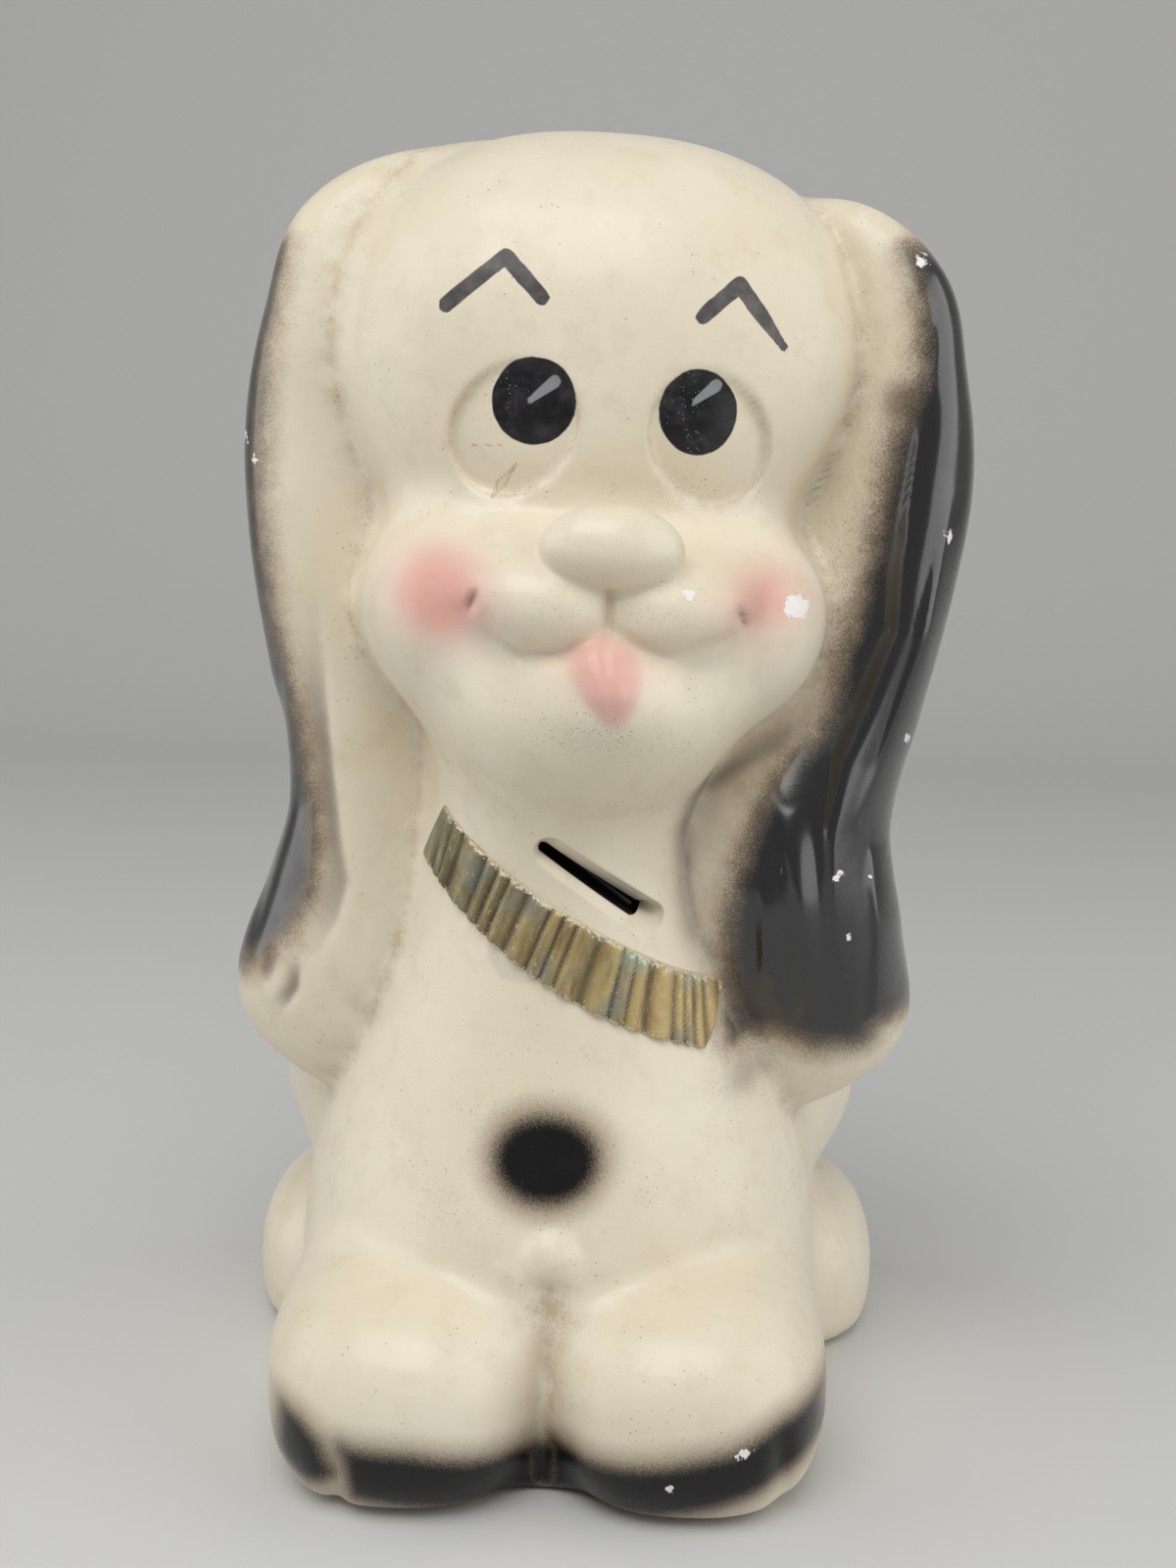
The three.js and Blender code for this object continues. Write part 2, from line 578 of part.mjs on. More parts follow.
// The stopper is turned about Z: dish, flange, plug and the hollow above.
const plugRadius = HOLE_RADIUS - CLEARANCE;
const plugTop = flangeTop + PLUG_HEIGHT;
const dishTop = flangeBottom + DISH_DEPTH;
const hollowRadius = plugRadius - PLUG_TAPER - PLUG_WALL;
const profile = [
  [0, dishTop],
  [DISH_RADIUS - DISH_DEPTH, dishTop],
  [DISH_RADIUS, flangeBottom],
  [flangeRadius, flangeBottom],
  [flangeRadius, flangeTop],
  [plugRadius, flangeTop],
  [plugRadius - PLUG_TAPER, plugTop],
  [hollowRadius, plugTop],
  [hollowRadius, dishTop + PLUG_CROWN],
  [0, dishTop + PLUG_CROWN],
].map(([r, z]) => new THREE.Vector2(r, z));
const stopper = solid(new THREE.LatheGeometry(profile, ROUND_SEGMENTS).rotateX(Math.PI / 2));

const dog = new THREE.Group();
dog.add(meshOf("front_shell", frontShell, PLASTER));
dog.add(meshOf("back_shell", backShell, PLASTER));
dog.add(meshOf("base_plate", plate, BARE_PLASTER));
dog.add(meshOf("coin_stopper", stopper, RUBBER));
dog.position.set(-MIDDLE_X, -MIDDLE_Y, 0);

export default dog;
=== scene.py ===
import math

import bpy
import numpy as np
from mathutils import Matrix, Vector


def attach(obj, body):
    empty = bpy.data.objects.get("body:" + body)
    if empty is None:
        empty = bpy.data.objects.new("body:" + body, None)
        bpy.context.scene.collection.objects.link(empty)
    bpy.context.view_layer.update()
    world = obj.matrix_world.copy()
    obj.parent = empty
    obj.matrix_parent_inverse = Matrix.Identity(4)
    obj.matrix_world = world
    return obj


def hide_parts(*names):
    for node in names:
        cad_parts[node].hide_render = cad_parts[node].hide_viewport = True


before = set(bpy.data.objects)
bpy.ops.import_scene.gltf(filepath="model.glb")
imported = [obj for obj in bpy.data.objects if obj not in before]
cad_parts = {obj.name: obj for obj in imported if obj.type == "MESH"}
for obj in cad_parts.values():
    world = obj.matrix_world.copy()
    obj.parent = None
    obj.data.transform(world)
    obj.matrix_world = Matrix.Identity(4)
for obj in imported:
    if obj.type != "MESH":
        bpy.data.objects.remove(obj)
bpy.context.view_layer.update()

# Camera: stands a little to the right of the figure's front, at the height of the cheeks,
# and looks slightly down, close enough for the head to look larger than the paws.
camera = bpy.data.objects.new("camera", bpy.data.cameras.new("camera"))
bpy.context.scene.collection.objects.link(camera)
camera.data.sensor_fit = "AUTO"
camera.data.sensor_width = 36
camera.data.lens = 51.75
turn = Matrix.Rotation(math.radians(2), 4, "Z")
tip = Matrix.Rotation(math.radians(80), 4, "X")
roll = Matrix.Rotation(math.radians(1), 4, "Z")
camera.matrix_world = Matrix.Translation((0.01909, -0.62661, 0.287)) @ turn @ tip @ roll
bpy.context.scene.camera = camera

# Stage: one pale sheet that lies as the floor and rises behind the figure in a wide curve, under a broad
# soft light from above the front, one from each side, the right one stronger, and a dim white sky.
SHEET_COLOUR = (0.60, 0.60, 0.59)
SHEET_HALF_WIDTH = 2.6
SHEET_NEAR, SHEET_FAR, SHEET_BEND, SHEET_TOP = -2.4, 1.1, 0.7, 2.6
SHEET_ACROSS, SHEET_ALONG = 9, 160


def new_mesh(name, points, quads):
    """A mesh from rows of points and rows of four corners, both whole arrays."""
    mesh = bpy.data.meshes.new(name)
    mesh.vertices.add(len(points))
    mesh.vertices.foreach_set("co", np.ascontiguousarray(points, np.float32).ravel())
    mesh.loops.add(quads.size)
    mesh.loops.foreach_set("vertex_index", np.ascontiguousarray(quads, np.int32).ravel())
    mesh.polygons.add(len(quads))
    mesh.polygons.foreach_set("loop_start", np.arange(0, quads.size, 4, dtype=np.int32))
    mesh.polygons.foreach_set("use_smooth", np.full(len(quads), True))
    mesh.update(calc_edges=True)
    mesh.validate()
    piece = bpy.data.objects.new(name, mesh)
    bpy.context.scene.collection.objects.link(piece)
    return piece


def grid_quads(columns, rows, first=0):
    """Corners of the cells of a grid whose points are numbered row by row inside each column."""
    number = first + np.arange(columns * rows).reshape(columns, rows)
    cell = [number[:-1, :-1], number[1:, :-1], number[1:, 1:], number[:-1, 1:]]
    return np.stack(cell, -1).reshape(-1, 4)


def floor_sheet(across, along):
    """Level up to the bend, then a quarter circle, then upright: its length is spent in that order."""
    level = SHEET_FAR - SHEET_NEAR
    arc = SHEET_BEND * math.pi / 2
    run = np.linspace(0, level + arc + SHEET_TOP, along)
    angle = np.clip((run - level) / SHEET_BEND, 0, math.pi / 2)
    y = SHEET_NEAR + np.minimum(run, level) + SHEET_BEND * np.sin(angle)
    z = SHEET_BEND * (1 - np.cos(angle)) + np.maximum(run - level - arc, 0)
    x = np.linspace(-SHEET_HALF_WIDTH, SHEET_HALF_WIDTH, across)
    grid = np.empty((across, along, 3))
    grid[..., 0] = x[:, None]
    grid[..., 1] = y
    grid[..., 2] = z
    return grid.reshape(-1, 3)


sheet_quads = grid_quads(SHEET_ACROSS, SHEET_ALONG)
floor = new_mesh("floor", floor_sheet(SHEET_ACROSS, SHEET_ALONG), sheet_quads)
sheet_paper = bpy.data.materials.new("sheet_paper")
sheet_paper.use_nodes = True
paper = sheet_paper.node_tree.nodes["Principled BSDF"]
paper.inputs["Base Color"].default_value = (*SHEET_COLOUR, 1)
paper.inputs["Roughness"].default_value = 0.9
floor.data.materials.append(sheet_paper)


def soft_light(name, place, aim, wide, tall, power):
    """An oblong lamp at a place, turned to its aim."""
    lamp = bpy.data.lights.new(name, "AREA")
    lamp.shape = "RECTANGLE"
    lamp.size = wide
    lamp.size_y = tall
    lamp.energy = power
    light = bpy.data.objects.new(name, lamp)
    bpy.context.scene.collection.objects.link(light)
    facing = (Vector(aim) - Vector(place)).to_track_quat("-Z", "Y").to_matrix().to_4x4()
    light.matrix_world = Matrix.Translation(place) @ facing


soft_light("top_light", (-0.2, -0.8, 1.4), (0, 0, 0.2), 1.2, 1.0, 13.5)
soft_light("right_light", (1.35, -0.45, 0.6), (0, 0, 0.22), 1.6, 1.5, 12)
soft_light("left_light", (-1.4, -0.2, 0.6), (0, 0, 0.22), 1.3, 1.5, 8.5)
sky = bpy.data.worlds.new("sky")
sky.use_nodes = True
sky.node_tree.nodes["Background"].inputs["Color"].default_value = (1, 1, 1, 1)
sky.node_tree.nodes["Background"].inputs["Strength"].default_value = 0.3
bpy.context.scene.world = sky
bpy.context.scene.view_settings.view_transform = "Standard"

# Front half of the casting: face, fronts of the ears, chest and paws. Plaster, poured into one half of
# a mould and painted by hand and with a spray gun. Luted to the back half along the sides.
# It is sculpted in millimetres, about an axis that stands MOULD_X, MOULD_Y from the frame's origin.
MOULD_X, MOULD_Y, SEAM_Y, FOOT_ROUND = 9, -6, 4, 5
LEAN, LEAN_PIVOT, LEAN_FOOT, LEAN_RUN = math.radians(2.6), 40, 50, 90
NECK_BEND, NECK_Z, NECK_REACH = 6, 175, 38
TRUNK_TOP, TRUNK_ROUND = 235, 20
# Rows of height, half width, front and back.
BODY_SECTIONS = [
    (0, 74, -82, 80), (30, 75, -84, 82), (60, 73, -82, 80), (90, 66, -75, 74), (120, 55, -67, 66),
    (150, 45, -63, 58), (177, 38, -64, 52), (200, 35, -67, 48), (230, 36, -66, 46),
]
# Rounded forms of the body: middle, half sizes, and where it isn't 2 how square they are.
PAW = (37.5, -55, 25), (37.5, 51, 34), 2.5
HIP = (56, 40, 82), (31, 44, 34)
HIND_FOOT = (65, 50, 17), (31, 42, 31), 2.4
TAIL = (0, 80, 30), (13, 14, 26)
NAVEL = (1, -79.5, 64), (7, 5, 7)
# The forms that are joined to the trunk, the same on both sides, each with its fillet.
BODY_FORMS = [(PAW, 9), (HIP, 14), (HIND_FOOT, 10), (TAIL, 8)]
NAVEL_FILLET = 3.5


def section_curves(sections):
    """Smooth curves through rows of sections: cubic pieces whose slope at a row is that of the chord
    between its neighbours, written out every quarter of a millimetre of height."""
    rows = np.array(sections, float)
    height = rows[:, 0]
    number = np.arange(len(rows))
    before, after = np.maximum(number - 1, 0), np.minimum(number + 1, len(rows) - 1)
    slope = (rows[after] - rows[before]) / (height[after] - height[before])[:, None]
    z = np.arange(height[0], height[-1] + 0.25, 0.25)
    i = np.clip(np.searchsorted(height, z, side="right") - 1, 0, len(height) - 2)
    run = (height[i + 1] - height[i])[:, None]
    t = ((z - height[i]) / run[:, 0])[:, None]
    lower = (1 + 2 * t) * (1 - t) ** 2 * rows[i] + t * (1 - t) ** 2 * run * slope[i]
    upper = t * t * (3 - 2 * t) * rows[i + 1] + t * t * (t - 1) * run * slope[i + 1]
    return z, (lower + upper).T


BODY_CURVES = section_curves(BODY_SECTIONS)


def ramp_up(value, low, high):
    """0 below low, 1 above high, and an even S between."""
    t = np.clip((value - low) / (high - low), 0, 1)
    return t * t * (3 - 2 * t)


def bell(value, middle, reach):
    """1 at the middle, falling evenly to either side, to about a third at the reach."""
    return np.exp(-(((value - middle) / reach) ** 2))


def join(a, b, fillet):
    """The nearer of two distances, with a fillet where they are close to equal."""
    h = np.maximum(fillet - np.abs(a - b), 0) / fillet
    return np.minimum(a, b) - h * h * fillet / 4


def trim(a, b, rounding):
    """What two forms share, with a rounded edge."""
    return -join(-a, -b, rounding)


def lump(x, y, z, at, half, square=2):
    """Distance to a rounded form: its level less 1, divided by its slope. For a squarer form it is how far
    the point lies outside along the line from the middle."""
    dx, dy, dz = x - at[0], y - at[1], z - at[2]
    ax, ay, az = np.abs(dx) / half[0], np.abs(dy) / half[1], np.abs(dz) / half[2]
    if square == 2:
        level = np.sqrt(ax * ax + ay * ay + az * az)
        slope = np.sqrt((ax / half[0]) ** 2 + (ay / half[1]) ** 2 + (az / half[2]) ** 2)
        return level * (level - 1) / np.maximum(slope, 1e-9)
    level = (ax**square + ay**square + az**square) ** (1 / square)
    return np.sqrt(dx * dx + dy * dy + dz * dz) * (1 - 1 / np.maximum(level, 1e-6))


def oval(x, y, half_x, half_y):
    """Distance to an oval in a plane: its level less 1, divided by its slope."""
    level = np.hypot(x / half_x, y / half_y)
    slope = np.hypot(x / half_x**2, y / half_y**2)
    return level * (level - 1) / np.maximum(slope, 1e-9)


def turned_by(u, v, angle):
    """The place of a point along and across axes that are turned by an angle."""
    return np.cos(angle) * u + np.sin(angle) * v, np.cos(angle) * v - np.sin(angle) * u


def upright(x, z):
    """The place of a point before the figure was leaned: a turn about the pivot that grows with height."""
    angle = LEAN * np.clip((z - LEAN_FOOT) / LEAN_RUN, 0, 1)
    ux, uz = turned_by(x, z - LEAN_PIVOT, -angle)
    return ux, uz + LEAN_PIVOT


def trunk(x, y, z):
    """Ovals stacked from the ground to the neck, which bends aside, and rounded off inside the head."""
    x = x + NECK_BEND * bell(z, NECK_Z, NECK_REACH)
    half, front, back = (np.interp(z, BODY_CURVES[0], curve) for curve in BODY_CURVES[1][1:])
    stacked = oval(x, y - (front + back) / 2, half, (back - front) / 2)
    return trim(stacked, z - TRUNK_TOP, TRUNK_ROUND)


def body(x, y, z):
    """Trunk, front paws, hips, hind feet, tail and navel, each joined with its own fillet."""
    d = trunk(x, y, z)
    for form, fillet in BODY_FORMS:
        d = join(d, lump(np.abs(x), y, z, *form), fillet)
    return join(d, lump(x, y, z, *NAVEL), NAVEL_FILLET)


# The head, turned a little to one side. Its rounded forms are given as the body's are.
HEAD_TURN, HEAD_X = math.radians(6.4), -4.5
SKULL = (0, 2, 288), (74, 63, 66.5), 2.4
CHEEK = (38.5, -34, 228.5), (23.5, 33, 24.5)
MUZZLE = (0, -38, 222), (46, 36, 30)
JAW = (0, -57, 207), (34, 28, 22)
HEAD_FORMS = [(CHEEK, 15), (MUZZLE, 16), (JAW, 12)]
# A jowl's middle across and up, and its form about that middle.
JOWL_X, JOWL_Z, JOWL_TILT = 17, 233, math.radians(8)
JOWL = (0, -66, 0), (20.5, 20.5, 13)
NOSE_Z, NOSE_HALF = 248.4, 10.8
NOSE = (0, -80, NOSE_Z), (17, 10, NOSE_HALF)
LIP = (0.5, -77, 211), (15, 11.5, 12)
TONGUE_HALF, TONGUE_ROOT, TONGUE_SLANT = 10.5, 217, 0.2
TONGUE = (0, -84, 216), (7.6, 8, TONGUE_HALF)
LIP_FILLET, TONGUE_FILLET = 7, 2
EYE_X, EYE_Z, EYE_TILT, EYE_LONG, EYE_WIDE = 24.8, 275.3, math.radians(-57), 17.8, 15.2
EYE_DEPTH, EYE_RIM_DEPTH, EYE_BALL, EYES_BEFORE = 2.5, 0.8, 1.2, -20


def face_place(x, y):
    """Side and depth of a point in front of the turned head."""
    return turned_by(x - HEAD_X, y, HEAD_TURN)


def jowls(side, ahead, z):
    """A rounded form that leans outwards, and the fillet it is joined with: tight below and wide above."""
    along, up = turned_by(side - JOWL_X, z - JOWL_Z, JOWL_TILT)
    under = 2.2 + 2.5 * np.clip((side - 12) / 18, 0, 1)
    fillet = under + (12 - under) * np.clip((z - 230) / 12, 0, 1)
    return lump(along, ahead, up, *JOWL), fillet


def nose(side, ahead, z):
    """A rounded form that is narrower and flatter below its middle, and its fillet, which opens into the
    bridge of the nose."""
    below = NOSE_Z - z
    narrow = 1 - 0.14 * np.clip(below / NOSE_HALF, 0, 1) ** 2
    flat = z - 0.25 * np.maximum(below, 0)
    fillet = 2.5 + 8 * np.clip((z - 247) / 9, 0, 1)
    return lump(side / narrow, ahead, flat, *NOSE), fillet


def tongue(across, ahead, z):
    """A rounded form that comes out of the mouth, and narrows and leans to one side on its way down."""
    hang = TONGUE_ROOT - z
    point = 1 - 0.2 * np.clip(hang / TONGUE_HALF, -1, 1)
    back = 0.35 * np.maximum(z - 213, 0)
    return lump((across - TONGUE_SLANT * hang) / point, ahead - back, z, *TONGUE)


def eye_oval(side, z):
    """Distance to the rim of an eye, a slanted oval, and a point's place out of its middle (1 at the rim)."""
    along, across = turned_by(side - EYE_X, z - EYE_Z, EYE_TILT)
    return oval(along, across, EYE_LONG, EYE_WIDE), np.hypot(along / EYE_LONG, across / EYE_WIDE)


def eye_dish(side, z):
    """Depth of an eye: a dish and a line worked along its rim, both fading upwards, less a low ball."""
    rim, level = eye_oval(side, z)
    dish = EYE_DEPTH * ramp_up(-rim, -0.6, 2.0) * (1 - 0.5 * ramp_up(z, 280, 294))
    line = EYE_RIM_DEPTH * bell(rim, -0.3, 0.8) * (1 - 0.7 * ramp_up(z, 278, 290))
    return dish + line - EYE_BALL * np.maximum(1 - level**2, 0)


def head(x, y, z):
    """A skull that tapers to the cheeks, joined with cheeks, muzzle, jaw, jowls, nose, lower lip and a tongue
    with a groove, and with the eyes dished into its front."""
    turned, ahead = face_place(x, y)
    side = np.abs(turned)
    taper = 1 - (0.17 + 0.04 * np.clip(turned / 40, -1, 1)) * ramp_up(-z, -300, -248)
    d = lump(turned / taper, ahead, z, *SKULL)
    for form, fillet in HEAD_FORMS:
        d = join(d, lump(side, ahead, z, *form), fillet)
    d = join(d, *jowls(side, ahead, z))
    d = join(d, *nose(side, ahead, z))
    middle = turned - TONGUE_SLANT * (TONGUE_ROOT - z)
    d = join(d, lump(middle, ahead, z, *LIP), LIP_FILLET)
    groove = 0.6 * bell(middle, 0, 1.6) * ramp_up(z, 207, 212)
    d = join(d, tongue(turned, ahead, z) + groove, TONGUE_FILLET)
    return d + np.where(ahead < EYES_BEFORE, eye_dish(side, z), 0)


# Rows of height, outer side, inner side, front and back.
EAR_SECTIONS = [
    (80, 60, 56, -16, 8), (92, 79, 50, -24, 14), (104, 92, 42, -30, 18), (120, 96, 38, -34, 20),
    (145, 90, 35, -34, 20), (172, 84.5, 36, -32, 21), (205, 90, 42, -30, 23), (240, 96.8, 48, -30, 25),
    (270, 99.2, 50, -30, 26), (300, 94.5, 48, -28, 25), (325, 87, 42, -22, 22), (348, 63, 34, -8, 14),
]
EAR_CURVES = section_curves(EAR_SECTIONS)
EAR_TIP, EAR_TIP_ROUND, EAR_TOP, EAR_TOP_ROUND = 84, 14, 343, 12
# How much one ear is set higher than the other, and how far the right one comes in and forward at the neck.
EAR_RISE, EAR_IN, EAR_FORWARD = 0.035, 22, 13


def ears(x, y, z):
    """Ovals stacked from the tip of the ear to its root beside the skull, rounded off at both ends. They
    fall back towards the skull, one ear is set higher, and the other one lies in over the neck."""
    side = np.abs(x)
    z = z + EAR_RISE * x * ramp_up(z, 230, 320)
    outer, inner, front, back = (np.interp(z, EAR_CURVES[0], curve) for curve in EAR_CURVES[1][1:])
    over = np.where(x > 0, bell(z, 160, 42), 0)
    inner = inner - EAR_IN * over
    front = front - EAR_FORWARD * over
    inwards = np.clip((outer - side) / (outer - inner), -0.2, 1.2)
    sweep = 20 * ramp_up(z, 140, 230) + 6 * ramp_up(z, 266, 292)
    middle = (front + back) / 2 + sweep * (inwards - 0.5)
    d = oval(side - (outer + inner) / 2, y - middle, (outer - inner) / 2, (back - front) / 2)
    return trim(trim(d, EAR_TIP - z, EAR_TIP_ROUND), z - EAR_TOP, EAR_TOP_ROUND)


# Lines worked into the clay, as seen from the front and listed downwards: locks of the ears; corners and line
# of the mouth, and the lip's groove; toes, the valley between the paws and the line over them. Each is its
# points (across, height), its depth, and its reach to the left and right. A negative depth stands proud.
LOCK_LINES = [
    ([(83.3, 294), (82.4, 278), (81.6, 263), (80.6, 246), (80.8, 228), (75, 210), (68.9, 194), (66.5, 175),
      (67.8, 162), (70.4, 144), (75.8, 129), (79.6, 123)], -3.8, 2.4, 11),
    ([(91.5, 262), (89.8, 246), (86.5, 224), (79.6, 197), (73, 177)], -1.5, 1.5, 5),
    ([(78.4, 170), (79.5, 160), (82, 147), (84, 120)], -1.9, 1.6, 6),
    ([(53, 180), (57, 165), (60.2, 148), (63.6, 132), (64.4, 122)], -2.1, 1.8, 6),
    ([(48.8, 164), (50.3, 148), (52.8, 131)], -1.7, 1.6, 5),
    ([(-75, 225), (-73.2, 202), (-70.7, 182), (-67.6, 163), (-64.3, 149), (-66.3, 139.5), (-70.3, 131)],
     2.3, 4, 1.8),
    ([(-82.8, 128), (-85, 119)], 1.5, 2, 1.5),
    ([(-75.7, 126), (-76, 119), (-79.6, 112.5)], 1.8, 2, 1.5),
    ([(-66.2, 126), (-61.3, 115), (-55.7, 109)], 1.3, 3, 3),
    ([(-86, 212), (-84.5, 165), (-89.3, 142), (-91.2, 130)], 1.6, 3, 2),
]
MOUTH_LINES = [
    ([(-28.3, 236.3), (-30.8, 230.3)], 1.7, 1.3, 1.3), ([(36.3, 235.4), (38.7, 230.5)], 1.7, 1.3, 1.3),
    ([(-28.1, 234.2), (-23.7, 225.5), (-16.2, 221), (-7.4, 222), (-1.1, 224.9), (3.9, 228.5)], 1.3, 1.8, 1.8),
    ([(5.2, 228.6), (10.8, 225.7), (17.8, 223.5), (25.3, 224.4), (32.9, 227), (38.6, 231.2)], 1.3, 1.8, 1.8),
    ([(3.9, 239), (4.2, 233), (4.6, 227)], 1.2, 1.2, 1.2),
]
TOE_LINES = [
    ([(-51, 25), (-52.5, 0)], 3, 3, 3), ([(61, 30), (62, 0)], 1.6, 3, 3),
    ([(0.5, 60), (0, 42), (-0.5, 22), (-0.8, 2)], 2.8, 4, 4),
    ([(-58, 60), (-40, 60), (-24, 58.5), (-10, 55), (-1, 51)], 0.9, 4, 3.5),
    ([(3, 51), (12, 55.5), (22, 58.5), (40, 60.5), (60, 61)], 0.9, 3.5, 4),
]
# The chart of those lines: half its width, its lowest and highest row, and its step.
CHART_HALF, CHART_LOW, CHART_TOP, CHART_STEP = 110, -5, 360, 0.5


def stroke(x, z, line):
    """Distance to a line of straight pieces, how far along it the nearest point lies (0 to 1), and on which
    side of that piece (1 on the right of a line that runs down)."""
    points = np.array(line, float)
    ends = np.cumsum(np.hypot(*np.diff(points, axis=0).T))
    nearest = np.full(np.shape(x), 1e9)
    along = np.zeros(np.shape(x))
    side = np.zeros(np.shape(x))
    for a, b, end in zip(points[:-1], points[1:], ends):
        run = b - a
        dx, dz = x - a[0], z - a[1]
        t = np.clip((dx * run[0] + dz * run[1]) / (run @ run), 0, 1)
        d = np.hypot(dx - t * run[0], dz - t * run[1])
        closer = d < nearest
        nearest = np.where(closer, d, nearest)
        along = np.where(closer, (end - (1 - t) * np.hypot(*run)) / ends[-1], along)
        side = np.where(closer, np.sign(run[0] * dz - run[1] * dx), side)
    return nearest, along, side


def line_relief(lines):
    """A chart of depth every half millimetre: half a bell to each side of a line, lower at its ends."""
    across = np.arange(-CHART_HALF, CHART_HALF + CHART_STEP, CHART_STEP)
    up = np.arange(CHART_LOW, CHART_TOP + CHART_STEP, CHART_STEP)
    x, z = np.meshgrid(across, up, indexing="ij")
    depth = np.zeros(x.shape)
    for line, deep, left, right in lines:
        d, along, side = stroke(x, z, line)
        half = np.where(side > 0, right, left)
        depth += deep * bell(d, 0, half) * (0.15 + 0.85 * np.sin(math.pi * along) ** 0.7)
    return depth


RELIEF = line_relief(LOCK_LINES + MOUTH_LINES + TOE_LINES)


def chart(table, x, z):
    """Reads a half millimetre chart between its four nearest entries."""
    u = np.clip((x + CHART_HALF) / CHART_STEP, 0, table.shape[0] - 1.001)
    v = np.clip((z - CHART_LOW) / CHART_STEP, 0, table.shape[1] - 1.001)
    i, j = u.astype(int), v.astype(int)
    s, t = u - i, v - j
    low = table[i, j] * (1 - s) + table[i + 1, j] * s
    return low * (1 - t) + (table[i, j + 1] * (1 - s) + table[i + 1, j + 1] * s) * t


HEAD_FILLET, EAR_FILLET = 30, 5.5


def ear_fillet(x, z):
    """Wide along the left ear and tight along the right one, tighter still beside the crown there, and wide
    again in the pinch between the ear and the right cheek."""
    left = ramp_up(-x, -35, 35) * ramp_up(z, 95, 140)
    right = ramp_up(x, 20, 50)
    return EAR_FILLET + 9.5 * left - 3 * ramp_up(z, 270, 288) * right + 9 * bell(z, 254, 16) * right


def skin(p):
    """Distance to the outside of the figure: head, body and ears joined, the drawn lines sunk into the
    front, and the foot edge drawn in as a quarter round."""
    y, z = p[..., 1], p[..., 2]
    ux, uz = upright(p[..., 0], z)
    d = join(head(ux, y, uz), body(ux, y, uz), HEAD_FILLET)
    d = join(d, ears(ux, y, uz), ear_fillet(ux, uz))
    d = d + chart(RELIEF, ux, uz) * ramp_up(-y, -2, 12) * ramp_up(-np.abs(ux), -97, -88)
    low = np.clip(FOOT_ROUND - z, 0, FOOT_ROUND)
    return d + FOOT_ROUND - np.sqrt(FOOT_ROUND**2 - low**2)


def settle(p, free, rounds):
    """Moves points onto the skin down its slope, along the axes in which each is free."""
    nudge, flattest, longest = 0.03, 0.05, 3
    for _ in range(rounds):
        d = skin(p)
        slope = np.stack([(skin(p + nudge * axis) - d) / nudge for axis in np.eye(3)], -1) * free
        pull = np.clip(d / np.maximum((slope**2).sum(-1), flattest), -longest, longest)
        p = p - pull[..., None] * slope
    return p


def soften(rows, reach):
    """The mean of each row and its neighbours up to reach away; the end rows count for those past them."""
    before = np.repeat(rows[:1], reach + 1, axis=0)
    held = np.concatenate([before, rows, np.repeat(rows[-1:], reach, axis=0)])
    held[0] = 0
    run = np.cumsum(held, axis=0)
    return (run[2 * reach + 1:] - run[:-2 * reach - 1]) / (2 * reach + 1)


def respace(grid, count, weight, reach):
    """Each row's points moved along the row to equal shares of its weighted length, which is softened over
    its neighbours so that they keep step. Row r reads its own stretch of one long table, lifted by 2 r."""
    step = np.linalg.norm(np.diff(grid, axis=1), axis=-1) * (weight[:, 1:] + weight[:, :-1]) / 2
    step = soften(soften(step, reach), reach)
    run = np.concatenate([np.zeros((len(grid), 1)), np.cumsum(step, axis=1)], axis=1)
    lift = 2 * np.arange(len(grid))[:, None]
    held = (run / run[:, -1:] + lift).ravel()
    goal = (np.linspace(0, 1, count) + lift).ravel()
    moved = [np.interp(goal, held, grid[..., k].ravel()) for k in range(3)]
    return np.stack(moved, -1).reshape(len(grid), count, 3)


FACE_MIDDLE, FACE_REACH = np.array((2, -70, 245)), 60


def closeness(p, gain):
    """How closely points stand: 1, and more near the face."""
    return 1 + gain * np.exp(-(((p - FACE_MIDDLE) / FACE_REACH) ** 2).sum(-1))


def spaced_columns(grid, split, low_rows, rows, gain, reach):
    """Columns spaced evenly below and above their split, so that one row stays level round the figure."""
    low, high = grid[:, :split + 1], grid[:, split:]
    low = respace(low, low_rows + 1, closeness(low, gain), reach)
    high = respace(high, rows - low_rows + 1, closeness(high, gain), reach)
    return np.concatenate([low[:, :-1], high], axis=1)


# The rays that find the skin: how many a column has, where they start to swing over the crown and over how
# much climb, how far out they start, and the ray at which the lower rows end. Those are a share of the rows.
RAYS, RAY_LEVEL, RAY_SWING, RAY_START, SPLIT_RAY, LOW_SHARE = 300, 288, 110, 160.0, 120, 0.42


